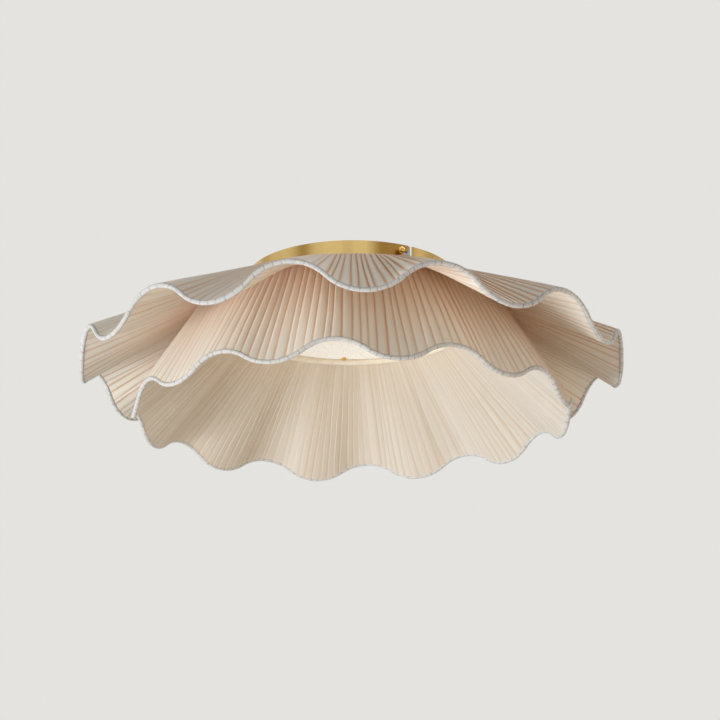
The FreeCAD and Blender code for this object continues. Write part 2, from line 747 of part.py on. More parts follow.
def make_diffuser_ring_tape():
    """Tape wound round the diffuser ring, parted where the hangers are welded on."""
    tape = hoop(diffuser_ring_radius, diffuser_ring_z, diffuser_tape_radius)
    tape = tape.cut(hoop(diffuser_ring_radius, diffuser_ring_z, diffuser_wire_radius + tape_clearance))
    outer = hanger_outer_radius + tape_parting
    above = diffuser_ring_z + tape_parting
    below = diffuser_ring_z - tape_parting
    outline = [(diffuser_ring_radius, above), (outer, above), (outer, below), (diffuser_ring_radius, below)]
    gap = radial_strip(outline, hanger_width + 2 * fabric_gap)
    for angle in arm_angles:
        tape = tape.cut(turned(gap, angle))
    return tape


def make_rim_tape(rim, wave_height, phase):
    """Tape wound round a rim wire."""
    tape = scalloped_wire(rim[0], rim[1], wave_height, phase, rim_tape_radius)
    return tape.cut(scalloped_wire(rim[0], rim[1], wave_height, phase, rim_wire_radius + tape_clearance))


def make_struts(ring_offset, rim, wave_height, phase):
    """Straight wires from beside the top ring to each trough of a rim."""
    start = edge_beside(top_ring, rim, top_tape_radius + fabric_gap + strut_radius, ring_offset)
    low_rim = (rim[0], rim[1] - wave_height)
    heading = math.atan2(low_rim[1] - start[1], low_rim[0] - start[0])
    stop = rim_tape_radius + fabric_gap
    end = (low_rim[0] - stop * math.cos(heading), low_rim[1] - stop * math.sin(heading))
    strut = rod(front(*start), front(*end), strut_radius)
    return around(strut, [phase + half_wave + 2 * half_wave * i for i in range(wave_count)])


def rim_share(edge, ring, rim):
    """How far along the way from ring to rim an edge lies, which scales its wave."""
    return (edge[0] - ring[0]) / (rim[0] - ring[0])


def make_skin(ring, ring_tape_radius, ring_offset, rim, rim_offset, wave_height, phase):
    """Skin from a taped ring to a taped rim; offsets are to the left of the way outwards."""
    clear = fabric_gap + fabric_thickness / 2
    top = edge_beside(ring, rim, ring_tape_radius + clear, ring_offset)
    low = edge_beside(rim, ring, rim_tape_radius + clear, -rim_offset, loop_steepness(rim[0], wave_height))
    return fabric_skin(top, low, wave_height * rim_share(low, ring, rim), phase)


def make_outer_cover():
    """Pleated top skin of the wide tier, over the top ring."""
    over_ring = top_tape_radius + fabric_gap + fabric_thickness / 2
    return make_skin(top_ring, top_tape_radius, over_ring, outer_rim, skin_offset,
                     outer_wave_height, outer_wave_phase)


def make_outer_lining():
    """Pleated under skin of the wide tier."""
    return make_skin(top_ring, top_tape_radius, -skin_offset, outer_rim, -skin_offset,
                     outer_wave_height, outer_wave_phase)


def make_inner_cover():
    """Pleated outside skin of the deep tier."""
    return make_skin(top_ring, top_tape_radius, -inner_cover_set_in, inner_rim, skin_offset,
                     inner_wave_height, inner_wave_phase)


def make_inner_lining():
    """Pleated inside skin, from the scalloped rim up to the diffuser ring."""
    return make_skin(diffuser_ring, diffuser_tape_radius, 0.0, inner_rim, -skin_offset,
                     inner_wave_height, inner_wave_phase)


# ---------------------------------------------------------------- diffuser
def make_diffuser_disc():
    """Stiff textured disc that lies on the diffuser ring."""
    disc = Part.makeCylinder(diffuser_radius, diffuser_thickness, Vector(0, 0, diffuser_under_z))
    hole = Part.makeCylinder(diffuser_screw_radius + diffuser_hole_clearance,
                             diffuser_thickness + 2 * overshoot,
                             front(diffuser_screw_circle, diffuser_under_z - overshoot))
    for angle in arm_angles:
        disc = disc.cut(turned(hole, angle))
    return disc


def make_diffuser_screw(angle):
    length = diffuser_thickness + hanger_thickness + diffuser_screw_end
    shank = Part.makeCylinder(diffuser_screw_radius, length, front(diffuser_screw_circle, diffuser_under_z))
    head = Part.makeCylinder(diffuser_screw_head_radius, diffuser_screw_head_height,
                             front(diffuser_screw_circle, diffuser_under_z), -UP)
    rim_edge = [edge for edge in head.Edges
                if edge.Closed and edge.CenterOfMass.z < diffuser_under_z - diffuser_screw_head_height / 2]
    head = head.makeFillet(diffuser_screw_head_height / 3, rim_edge)
    return turned(shank.fuse(head).removeSplitter(), angle)


# ---------------------------------------------------------------- the assembly
parts = {
    "ceiling_bracket": make_ceiling_bracket(),
    "side_screw_right": make_side_screw(screw_angle),
    "side_screw_left": make_side_screw(screw_angle + 180),
    "canopy": make_canopy(),
    "cable_grommet": make_grommet(),
    "terminal_block": make_terminal_block(),
    "terminal_screws": make_terminal_screws(),
    "supply_leads": make_supply_leads(),
    "earth_screw": make_earth_screw(),
    "earth_lead": make_earth_lead(),
    "lampholder_block": make_lamp_block(),
    "lampholder_block_screws": make_block_screws(),
    "lampholders": make_lampholders(),
    "lead_splice": make_splice(),
    "lampholder_leads": make_lampholder_leads(),
    "carrier_plate": make_carrier_plate(),
    "carrier_screws": make_carrier_screws(),
    "carrier_nuts": make_carrier_nuts(),
    "carrier_arms": make_carrier_arms(),
    "diffuser_hangers": make_diffuser_hangers(),
    "top_ring_wire": hoop(top_ring_radius, top_ring_z, top_wire_radius),
    "top_ring_tape": make_top_ring_tape(),
    "outer_rim_wire": scalloped_wire(outer_rim_radius, outer_rim_z, outer_wave_height,
                                     outer_wave_phase, rim_wire_radius),
    "outer_rim_tape": make_rim_tape(outer_rim, outer_wave_height, outer_wave_phase),
    "outer_struts": make_struts(0.0, outer_rim, outer_wave_height, outer_wave_phase),
    "inner_rim_wire": scalloped_wire(inner_rim_radius, inner_rim_z, inner_wave_height,
                                     inner_wave_phase, rim_wire_radius),
    "inner_rim_tape": make_rim_tape(inner_rim, inner_wave_height, inner_wave_phase),
    "inner_struts": make_struts(-inner_cover_set_in - skin_offset, inner_rim, inner_wave_height,
                                inner_wave_phase),
    "outer_shade_cover": make_outer_cover(),
    "outer_shade_lining": make_outer_lining(),
    "inner_shade_cover": make_inner_cover(),
    "inner_shade_lining": make_inner_lining(),
    "diffuser_ring": hoop(diffuser_ring_radius, diffuser_ring_z, diffuser_wire_radius),
    "diffuser_ring_tape": make_diffuser_ring_tape(),
    "diffuser_disc": make_diffuser_disc(),
}
for number, lamp_angle in enumerate(lamp_angles, 1):
    parts[f"lamp_{number}_envelope"] = make_lamp_envelope(lamp_angle)
    parts[f"lamp_{number}_base"] = make_lamp_base(lamp_angle)
    parts[f"lamp_{number}_pins"] = make_lamp_pins(lamp_angle)
for number, arm_angle in enumerate(arm_angles, 1):
    parts[f"diffuser_screw_{number}"] = make_diffuser_screw(arm_angle)

os.makedirs("parts", exist_ok=True)
for name, shape in parts.items():
    shape.exportStep(f"parts/{name}.step")
    box = shape.BoundBox
    print(f"{name}: {len(shape.Solids)} solids, valid {shape.isValid()}, {shape.Volume:.1f} mm3, "
          f"z {box.ZMin:.1f} to {box.ZMax:.1f}, x {box.XMin:.1f} to {box.XMax:.1f}")
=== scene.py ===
"""A flush ceiling light with a two-tier pleated shade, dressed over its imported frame.

Lengths are metres in the frame's own axes: the origin is the middle of the fitting on the
ceiling and +Z points up into the ceiling. Angles are degrees round Z, counted from the front
(-Y) towards +X.
"""
import json
import logging
import math
from dataclasses import dataclass
from enum import Enum

import bpy
import numpy as np
from mathutils import Matrix, Vector

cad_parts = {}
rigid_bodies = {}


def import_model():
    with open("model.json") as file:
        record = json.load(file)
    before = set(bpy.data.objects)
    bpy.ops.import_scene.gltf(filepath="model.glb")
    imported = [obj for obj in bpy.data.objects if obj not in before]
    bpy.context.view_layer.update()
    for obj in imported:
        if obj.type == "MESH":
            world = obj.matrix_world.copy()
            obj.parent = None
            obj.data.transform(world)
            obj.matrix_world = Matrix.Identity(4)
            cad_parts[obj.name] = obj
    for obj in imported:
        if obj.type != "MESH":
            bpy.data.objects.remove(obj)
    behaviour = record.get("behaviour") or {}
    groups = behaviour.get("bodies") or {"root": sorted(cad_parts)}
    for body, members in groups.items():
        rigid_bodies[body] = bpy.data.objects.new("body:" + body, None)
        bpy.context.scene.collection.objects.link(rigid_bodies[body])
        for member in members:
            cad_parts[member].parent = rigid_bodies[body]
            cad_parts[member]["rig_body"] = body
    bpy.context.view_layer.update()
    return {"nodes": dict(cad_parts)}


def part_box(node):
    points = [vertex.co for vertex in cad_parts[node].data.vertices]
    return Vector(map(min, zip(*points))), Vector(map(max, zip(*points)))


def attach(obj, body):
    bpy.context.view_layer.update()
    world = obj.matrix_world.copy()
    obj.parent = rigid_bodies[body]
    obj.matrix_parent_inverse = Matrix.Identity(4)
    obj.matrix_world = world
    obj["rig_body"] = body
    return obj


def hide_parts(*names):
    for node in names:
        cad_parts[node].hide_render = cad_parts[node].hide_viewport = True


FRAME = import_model()
LOG = logging.getLogger("ceiling_light")

MM = 0.001
SAME_HEIGHT = 0.01 * MM  # heights closer than this count as one
WAVES = 12  # scallops round each rim
HALF_WAVE = 180.0 / WAVES
SEARCH_ROUNDS = 20  # more than enough for a crossing radius to settle
WAVE_TEXTURE_SCALE = math.pi / 10  # a Wave texture's Scale is this over its band spacing
NOISE_SPAN = (0.3, 0.7)  # nearly all of a noise texture's values lie in here
THREAD_RELIEF = 0.15 * MM  # how far woven threads stand out


# ---------------------------------------------------------------- colours and nodes
def linear(hex_colour: str) -> tuple[float, float, float, float]:
    """Turn an sRGB hex colour into the linear colour that a shader takes.

    Args:
        hex_colour: The colour as "#RRGGBB".

    Returns:
        Linear red, green, blue and an alpha of 1.
    """
    parts = [int(hex_colour[i:i + 2], 16) / 255 for i in (1, 3, 5)]
    red, green, blue = (p / 12.92 if p <= 0.04045 else ((p + 0.055) / 1.055) ** 2.4 for p in parts)
    return red, green, blue, 1.0


def add_node(tree: bpy.types.NodeTree, kind: str, settings: dict | None = None,
             inputs: dict | None = None) -> bpy.types.Node:
    """Add one node with its settings, input values and links.

    Args:
        tree: The node tree that gets the node.
        kind: Blender's name of the node's type.
        settings: Values of the node's own settings, by name.
        inputs: By socket name or number, a value or the output socket that feeds it.

    Returns:
        The new node.
    """
    node = tree.nodes.new(kind)
    for name, value in (settings or {}).items():
        setattr(node, name, value)
    for socket, value in (inputs or {}).items():
        if isinstance(value, bpy.types.NodeSocket):
            tree.links.new(value, node.inputs[socket])
        else:
            node.inputs[socket].default_value = value
    return node


def looked_at(tree: bpy.types.NodeTree) -> bpy.types.NodeSocket:
    """Pick out the rays that show a thing to the camera, straight, in metal or through glass.

    Args:
        tree: The node tree of a material or of the world.

    Returns:
        An output that is 1 for those rays and 0 for the rays that only carry light.
    """
    path = add_node(tree, "ShaderNodeLightPath").outputs
    seen = add_node(tree, "ShaderNodeMath", {"operation": "MAXIMUM"},
                    {0: path["Is Camera Ray"], 1: path["Is Glossy Ray"]})
    return add_node(tree, "ShaderNodeMath", {"operation": "MAXIMUM"},
                    {0: seen.outputs[0], 1: path["Is Transmission Ray"]}).outputs[0]


# ---------------------------------------------------------------- finishes
@dataclass(frozen=True)
class Finish:
    """A finish: its name, and the material slot that it stands for."""

    name: str
    slot: str

    def material(self) -> bpy.types.Material:
        """Make the finish's material the first time that it is asked for.

        Returns:
            The material, the same one each time.
        """
        material = bpy.data.materials.get(self.name)
        if material is None:
            material = bpy.data.materials.new(self.name)
            material.use_nodes = True
            tree = material.node_tree
            tree.nodes.clear()
            add_node(tree, "ShaderNodeOutputMaterial", inputs={"Surface": self.surface(tree)})
        return material

    def surface(self, tree: bpy.types.NodeTree) -> bpy.types.NodeSocket:
        """Draw the finish's nodes and return the shader's output."""
        raise NotImplementedError

    def dress(self, piece: bpy.types.Object) -> None:
        """Give a piece this finish alone."""
        piece.data.materials.clear()
        piece.data.materials.append(self.material())


@dataclass(frozen=True)
class PleatedCloth(Finish):
    """Plain-woven cotton laid in knife pleats.

    The folds are painted peach brown, as painted shade and painted warm glow of light through the
    folded layers, and the strips stay cream. The strips differ a little in tone, and slubs run
    along them.
    """

    strip: str = "#F9F5EA"
    low_strip: str = "#F2ECDC"
    # painted shade and painted warm glow in the folds, standing in for light through folded layers
    crease_shade: str = "#D8A473"
    glow: str = "#F8DDB6"
    through: float = 0.20  # share of the light that passes through
    slub_width: float = 1.6 * MM
    slub_length: float = 45 * MM
    slub_tone: tuple[float, float] = (0.7, -0.25)  # slope and start of the tone along the slubs
    slub_relief: float = 1.5  # height of the slubs, with the weave's as 1
    thread_spacing: float = 0.9 * MM  # the cloth's own is about a third of this, too fine to show

    def surface(self, tree: bpy.types.NodeTree) -> bpy.types.NodeSocket:
        """Cream strips and painted peach-brown shade in the folds, with a share of light let
        through.

        Args:
            tree: The material's node tree.

        Returns:
            The shader's output.
        """
        along = add_node(tree, "ShaderNodeTexCoord").outputs["UV"]
        tone = add_node(tree, "ShaderNodeAttribute", {"attribute_name": "tone"}).outputs["Fac"]
        crease_shade = add_node(tree, "ShaderNodeAttribute", {"attribute_name": "crease_shade"}).outputs["Fac"]
        slub_place = add_node(tree, "ShaderNodeMapping", inputs={
            "Vector": along, "Scale": (1 / self.slub_width, 1 / self.slub_length, 1.0)})
        slubs = add_node(tree, "ShaderNodeTexNoise", inputs={
            "Vector": slub_place.outputs[0], "Scale": 1.0, "Detail": 3.0, "Roughness": 0.6})
        slope, start = self.slub_tone
        deepness = add_node(tree, "ShaderNodeMath", {"operation": "MULTIPLY_ADD"},
                            {0: slubs.outputs["Fac"], 1: slope, 2: start})
        deepness = add_node(tree, "ShaderNodeMath", {"operation": "ADD", "use_clamp": True},
                            {0: deepness.outputs[0], 1: tone})
        strips = add_node(tree, "ShaderNodeMix", {"data_type": "RGBA"}, {
            "Factor": deepness.outputs[0], "A": linear(self.strip), "B": linear(self.low_strip)})
        # the folds get their painted shade and painted warm glow here
        cloth = add_node(tree, "ShaderNodeMix", {"data_type": "RGBA"}, {
            "Factor": crease_shade, "A": strips.outputs["Result"], "B": linear(self.crease_shade)})
        scale = WAVE_TEXTURE_SCALE / self.thread_spacing
        warp, weft = (add_node(tree, "ShaderNodeTexWave", {"bands_direction": direction},
                               {"Vector": along, "Scale": scale, "Distortion": 0.6})
                      for direction in ("X", "Y"))
        weave = add_node(tree, "ShaderNodeMath", {"operation": "MULTIPLY"},
                         {0: warp.outputs["Fac"], 1: weft.outputs["Fac"]})
        relief = add_node(tree, "ShaderNodeMath", {"operation": "MULTIPLY_ADD"},
                          {0: slubs.outputs["Fac"], 1: self.slub_relief, 2: weave.outputs[0]})
        bump = add_node(tree, "ShaderNodeBump", inputs={
            "Strength": 0.25, "Distance": THREAD_RELIEF, "Height": relief.outputs[0]})
        face = add_node(tree, "ShaderNodeBsdfPrincipled", inputs={
            "Base Color": cloth.outputs["Result"], "Roughness": 0.85, "Specular IOR Level": 0.25,
            "Sheen Weight": 0.1, "Sheen Roughness": 0.4, "Normal": bump.outputs[0]})
        behind = add_node(tree, "ShaderNodeBsdfTranslucent", inputs={
            "Color": linear(self.glow), "Normal": bump.outputs[0]})
        return add_node(tree, "ShaderNodeMixShader", inputs={
            0: self.through, 1: face.outputs[0], 2: behind.outputs[0]}).outputs[0]


@dataclass(frozen=True)
class WoundTape(Finish):
    """White cotton tape, twill woven, wound so that each turn laps the last.

    Fine puckers run across it with painted shade in their hollows, and the lap edges hold a thin
    grey line of painted shadow and dust.
    """

    tape: str = "#C9C6C1"
    # painted shadow and dust in the lap lines
    lap: str = "#746F68"
    thread_spacing: float = 0.8 * MM  # the tape's own is about half of this, too fine to show
    pucker_width: float = 1.3 * MM
    pucker_length: float = 9 * MM
    pucker_shade: tuple[float, float] = (-1.4, 0.72)  # slope and start of the painted shade in the pucker hollows, by their height
    pucker_relief: float = 4.0  # height of the puckers, with the weave's as 1

    def surface(self, tree: bpy.types.NodeTree) -> bpy.types.NodeSocket:
        """White tape, painted grey in its pucker hollows and laps, with puckers and weave as
        relief.

        Args:
            tree: The material's node tree.

        Returns:
            The shader's output.
        """
        along = add_node(tree, "ShaderNodeTexCoord").outputs["UV"]
        lap = add_node(tree, "ShaderNodeAttribute", {"attribute_name": "lap"}).outputs["Fac"]
        pucker_place = add_node(tree, "ShaderNodeMapping", inputs={
            "Vector": along, "Scale": (1 / self.pucker_width, 1 / self.pucker_length, 1.0)})
        puckers = add_node(tree, "ShaderNodeTexNoise", inputs={
            "Vector": pucker_place.outputs[0], "Scale": 1.0, "Detail": 3.0, "Roughness": 0.6})
        slope, start = self.pucker_shade
        # painted shade in the pucker hollows, then painted shadow and dust in the laps
        shade_and_dust = add_node(tree, "ShaderNodeMath", {"operation": "MULTIPLY_ADD"},
                            {0: puckers.outputs["Fac"], 1: slope, 2: start})
        shade_and_dust = add_node(tree, "ShaderNodeMath", {"operation": "MAXIMUM"},
                            {0: shade_and_dust.outputs[0], 1: lap})
        colour = add_node(tree, "ShaderNodeMix", {"data_type": "RGBA"}, {
            "Factor": shade_and_dust.outputs[0], "A": linear(self.tape), "B": linear(self.lap)})
        weave = add_node(tree, "ShaderNodeTexWave", {"bands_direction": "DIAGONAL"}, {
            "Vector": along, "Scale": WAVE_TEXTURE_SCALE / self.thread_spacing, "Distortion": 1.0})
        relief = add_node(tree, "ShaderNodeMath", {"operation": "MULTIPLY_ADD"},
                          {0: puckers.outputs["Fac"], 1: self.pucker_relief,
                           2: weave.outputs["Fac"]})
        bump = add_node(tree, "ShaderNodeBump", inputs={
            "Strength": 0.45, "Distance": THREAD_RELIEF, "Height": relief.outputs[0]})
        return add_node(tree, "ShaderNodeBsdfPrincipled", inputs={
            "Base Color": colour.outputs["Result"], "Roughness": 0.8, "Specular IOR Level": 0.3,
            "Normal": bump.outputs[0]}).outputs[0]


@dataclass(frozen=True)
class BrushedMetal(Finish):
    """Metal brushed on a turning lathe: fine lines run round the axis on walls and faces.

    The lines spread each reflection across them, so lights show as soft upright bands, and broad
    upright bands of painted reflection, lighter and darker, lie round the axis.
    """

    metal: str
    # the darker colour of the painted reflection bands
    dark_reflection: str
    line_width: float = 0.35 * MM  # the brush's own lines are several times finer
    line_breaks: float = 2.5  # breaks along a line, per radian
    line_relief: float = 0.03 * MM
    smoothest: float = 0.20
    roughest: float = 0.38
    bands: float = 2.6  # broad bands of painted reflection, per unit of the direction outwards
    band_span: tuple[float, float] = (0.38, 0.62)  # of their noise, from the metal to the darker painted reflection

    def surface(self, tree: bpy.types.NodeTree) -> bpy.types.NodeSocket:
        """Lines of changing roughness and height, at constant radius and height.

        Args:
            tree: The material's node tree.

        Returns:
            The shader's output.
        """
        place = add_node(tree, "ShaderNodeSeparateXYZ", inputs={
            0: add_node(tree, "ShaderNodeTexCoord").outputs["Object"]}).outputs
        square = add_node(tree, "ShaderNodeMath", {"operation": "MULTIPLY"},
                          {0: place["X"], 1: place["X"]})
        square = add_node(tree, "ShaderNodeMath", {"operation": "MULTIPLY_ADD"},
                          {0: place["Y"], 1: place["Y"], 2: square.outputs[0]})
        radius = add_node(tree, "ShaderNodeMath", {"operation": "SQRT"}, {0: square.outputs[0]})
        turn = add_node(tree, "ShaderNodeMath", {"operation": "ARCTAN2"},
                        {0: place["X"], 1: place["Y"]})
        unrolled = add_node(tree, "ShaderNodeCombineXYZ", inputs={
            "X": radius.outputs[0], "Y": place["Z"], "Z": turn.outputs[0]})
        stretched = add_node(tree, "ShaderNodeMapping", inputs={
            "Vector": unrolled.outputs[0],
            "Scale": (1 / self.line_width, 1 / self.line_width, self.line_breaks)})
        lines = add_node(tree, "ShaderNodeTexNoise", inputs={
            "Vector": stretched.outputs[0], "Scale": 1.0, "Detail": 4.0, "Roughness": 0.7})
        low, high = NOISE_SPAN
        roughness = add_node(tree, "ShaderNodeMapRange", inputs={
            "Value": lines.outputs["Fac"], "From Min": low, "From Max": high,
            "To Min": self.smoothest, "To Max": self.roughest})
        flat = add_node(tree, "ShaderNodeCombineXYZ", inputs={"X": place["X"], "Y": place["Y"]})
        outwards = add_node(tree, "ShaderNodeVectorMath", {"operation": "NORMALIZE"},
                            {0: flat.outputs[0]})
        # painted reflection: broad upright bands, lighter and darker round the axis
        bands = add_node(tree, "ShaderNodeTexNoise", inputs={
            "Vector": outwards.outputs[0], "Scale": self.bands, "Detail": 1.0})
        low, high = self.band_span
        share = add_node(tree, "ShaderNodeMapRange", inputs={
            "Value": bands.outputs["Fac"], "From Min": low, "From Max": high})
        colour = add_node(tree, "ShaderNodeMix", {"data_type": "RGBA"}, {
            "Factor": share.outputs[0], "A": linear(self.metal), "B": linear(self.dark_reflection)})
        bump = add_node(tree, "ShaderNodeBump", inputs={
            "Strength": 0.25, "Distance": self.line_relief, "Height": lines.outputs["Fac"]})
        tangent = add_node(tree, "ShaderNodeTangent", {"direction_type": "RADIAL", "axis": "Z"})
        return add_node(tree, "ShaderNodeBsdfPrincipled", inputs={
            "Base Color": colour.outputs["Result"], "Metallic": 1.0, "Anisotropic": 0.7,
            "Roughness": roughness.outputs[0], "Tangent": tangent.outputs[0],
            "Normal": bump.outputs[0]}).outputs[0]


@dataclass(frozen=True)
class GrainedSurface(Finish):
    """An even finish with a fine grain: two close tones, a changing gloss and a slight relief."""

    colour: str
    second: str
    roughness: float
    grain: float  # width of one grain
    relief: float = 0.1
    metallic: float = 0.0
    coat: float = 0.0
    lit: float = 0.0
    lamplight: str = "#FFC78C"
    gloss_spread: float = 0.15  # share by which the roughness changes either way
    grain_depth: float = 0.1    # share of the grain's width

    def surface(self, tree: bpy.types.NodeTree) -> bpy.types.NodeSocket:
        """One noise drives the tone, the gloss and the relief.

        Args:
            tree: The material's node tree.

        Returns:
            The shader's output.
        """
        place = add_node(tree, "ShaderNodeTexCoord").outputs["Object"]
        grain = add_node(tree, "ShaderNodeTexNoise", inputs={
            "Vector": place, "Scale": 1 / self.grain, "Detail": 3.0, "Roughness": 0.55})
        colour = add_node(tree, "ShaderNodeMix", {"data_type": "RGBA"}, {
            "Factor": grain.outputs["Fac"], "A": linear(self.colour), "B": linear(self.second)})
        low, high = NOISE_SPAN
        gloss = add_node(tree, "ShaderNodeMapRange", inputs={
            "Value": grain.outputs["Fac"], "From Min": low, "From Max": high,
            "To Min": self.roughness * (1 - self.gloss_spread),
            "To Max": self.roughness * (1 + self.gloss_spread)})
        bump = add_node(tree, "ShaderNodeBump", inputs={
            "Strength": self.relief, "Distance": self.grain_depth * self.grain,
            "Height": grain.outputs["Fac"]})
        return add_node(tree, "ShaderNodeBsdfPrincipled", inputs={
            "Base Color": colour.outputs["Result"], "Metallic": self.metallic,
            "Roughness": gloss.outputs[0], "Coat Weight": self.coat, "Coat Roughness": 0.1,
            "Emission Color": linear(self.lamplight), "Emission Strength": self.lit,
            "Normal": bump.outputs[0]}).outputs[0]


@dataclass(frozen=True)
class LinenSheet(Finish):
    """Stiff sheet faced with linen: threads of uneven thickness cross and catch the light.

    It glows evenly by itself: a painted glow, standing in for the light of the lit lamps behind it.
    """

    sheet: str = "#FAF8F2"
    thread: str = "#DFD6C4"
    thread_spacing: float = 0.9 * MM  # about two real threads, which alone are too fine to show
    thread_length: float = 6.3 * MM   # how long a thread keeps its thickness
    thread_span: tuple[float, float] = (0.45, 0.72)  # from the sheet's colour to the thread's
    # strength of the painted glow
    lit: float = 0.17

    def surface(self, tree: bpy.types.NodeTree) -> bpy.types.NodeSocket:
        """Crossed bands of noise, stretched along each thread direction.

        Args:
            tree: The material's node tree.

        Returns:
            The shader's output.
        """
        place = add_node(tree, "ShaderNodeTexCoord").outputs["Object"]
        across, along = 1 / self.thread_spacing, 1 / self.thread_length
        threads = []
        for scale in ((across, along, across), (along, across, across)):
            stretched = add_node(tree, "ShaderNodeMapping", inputs={
                "Vector": place, "Scale": scale})
            threads.append(add_node(tree, "ShaderNodeTexNoise", inputs={
                "Vector": stretched.outputs[0], "Scale": 1.0, "Detail": 2.0}).outputs["Fac"])
        crossed = add_node(tree, "ShaderNodeMath", {"operation": "MAXIMUM"},
                           {0: threads[0], 1: threads[1]})
        low, high = self.thread_span
        share = add_node(tree, "ShaderNodeMapRange", inputs={
            "Value": crossed.outputs[0], "From Min": low, "From Max": high})
        colour = add_node(tree, "ShaderNodeMix", {"data_type": "RGBA"}, {
            "Factor": share.outputs[0], "A": linear(self.sheet), "B": linear(self.thread)})
        bump = add_node(tree, "ShaderNodeBump", inputs={
            "Strength": 0.4, "Distance": THREAD_RELIEF, "Height": crossed.outputs[0]})
        # painted glow in the threads' colour, standing in for the lamps' light through the sheet
        return add_node(tree, "ShaderNodeBsdfPrincipled", inputs={
            "Base Color": colour.outputs["Result"], "Roughness": 0.6, "Specular IOR Level": 0.35,
            "Emission Color": colour.outputs["Result"], "Emission Strength": self.lit,
            "Normal": bump.outputs[0]}).outputs[0]


# Brass, spun, brushed and lacquered: warm yellow with a dull sheen, and painted reflections in
# upright bands.
BRUSHED_BRASS = BrushedMetal("brushed_lacquered_brass", "brushed_brass", metal="#EBCB86",
                             dark_reflection="#A67E3F")
# The same brass, turned and polished: small sharp reflections.
POLISHED_BRASS = GrainedSurface(
    "polished_brass_screw", "polished_brass", colour="#DDB468", second="#CDA254", roughness=0.16,
    grain=4 * MM, relief=0.03, metallic=1.0)
# Steel, pressed and zinc plated: bluish grey, half dull, with faint spangles.
ZINC_STEEL = GrainedSurface(
    "zinc_plated_pressed_steel", "zinc_plated_steel", colour="#B9BDC2", second="#9EA3A8",
    roughness=0.34, grain=2.5 * MM, relief=0.08, metallic=1.0)
# Steel, powder coated: an even white skin with a slight orange peel.
COATED_STEEL = GrainedSurface(
    "white_powder_coated_steel", "white_coated_steel", colour="#E9E7E1", second="#E0DDD5",
    roughness=0.42, grain=0.9 * MM, relief=0.12)
# Cotton, pleated: cream strips, with painted peach-brown shade and glow in the folds.
COVER_CLOTH = PleatedCloth("pleated_cotton_cover", "pleated_fabric")
# The lining is a smoother cotton with faint folds, painted a paler shade, and lets more light
# through.
LINING_CLOTH = PleatedCloth(
    "pleated_cotton_lining", "lining_fabric", strip="#EBE8DF", low_strip="#E3DED2",
    crease_shade="#C6B08C", glow="#F3DAB0", through=0.32, slub_width=6 * MM, slub_length=120 * MM)
# Cotton tape, woven and wound: matt and puckered.
BINDING_TAPE = WoundTape("wound_cotton_tape", "binding_tape")
# The hem round the diffuser is of the lining's cloth, cream with tan laps of painted shadow and
# dust.
HEM_TAPE = WoundTape("sewn_lining_hem", "lining_fabric", tape="#EADFCB", lap="#CDB994")
# Linen laid on a stiff sheet: crossed threads, with a painted even glow for the lamps' light behind
# them.
DIFFUSER_SHEET = LinenSheet("linen_faced_sheet", "diffuser_sheet")
# Steatite, glazed: off-white and glossy, slightly wavy.
GLAZED_CERAMIC = GrainedSurface(
    "glazed_steatite_ceramic", "white_ceramic", colour="#EBE8E0", second="#E2DED3",
    roughness=0.22, grain=3 * MM, relief=0.05, coat=0.5)
# Glass, blown, white right through. The lamps are lit a little, as in the photograph, so they
# shine through the cloth round them.
OPAL_GLASS = GrainedSurface(
    "opal_blown_glass", "opal_glass", colour="#F2F0EA", second="#ECE9E0", roughness=0.12,
    grain=8 * MM, relief=0.02, coat=1.0, lit=6.0)
# Polyamide, moulded: off-white and half dull, with a fine spark-eroded grain.
MOULDED_PLASTIC = GrainedSurface(
    "moulded_polyamide", "terminal_plastic", colour="#DEDDD6", second="#D2D0C8", roughness=0.45,
    grain=0.6 * MM)
# Rubber, moulded: black and dull.
BLACK_RUBBER = GrainedSurface(
    "moulded_black_rubber", "black_rubber", colour="#1B1A19", second="#26241F", roughness=0.7,
    grain=0.8 * MM, relief=0.2)
# Sleeves of the wires, extruded: smooth, with a soft shine.
LEAD_SLEEVE = GrainedSurface(
    "brown_pvc_sleeve", "lead_insulation", colour="#5F3B24", second="#553320", roughness=0.38,
    grain=2 * MM, relief=0.05)
EARTH_SLEEVE = GrainedSurface(
    "green_pvc_sleeve", "earth_insulation", colour="#6C9A35", second="#7FA83C", roughness=0.38,
    grain=2 * MM, relief=0.05)


# ---------------------------------------------------------------- shapes that several pieces share
def polar(radius: float | np.ndarray, angle: float | np.ndarray,
          height: float | np.ndarray) -> np.ndarray:
    """Find points at a radius, an angle in degrees from the front, and a height.

    Args:
        radius: Distance from the Z axis, one for all or one for each.
        angle: Angles from -Y towards +X, one for all or one for each.
        height: Heights, one for all or one for each.

    Returns:
        An array with the points' coordinates along its last axis.
    """
    bearing = np.radians(angle)
    x, y = radius * np.sin(bearing), -radius * np.cos(bearing)
    return np.stack(np.broadcast_arrays(x, y, height), axis=-1)


def unit(vectors: np.ndarray) -> np.ndarray:
    """The vectors along the last axis at length 1."""
    return vectors / np.linalg.norm(vectors, axis=-1, keepdims=True)


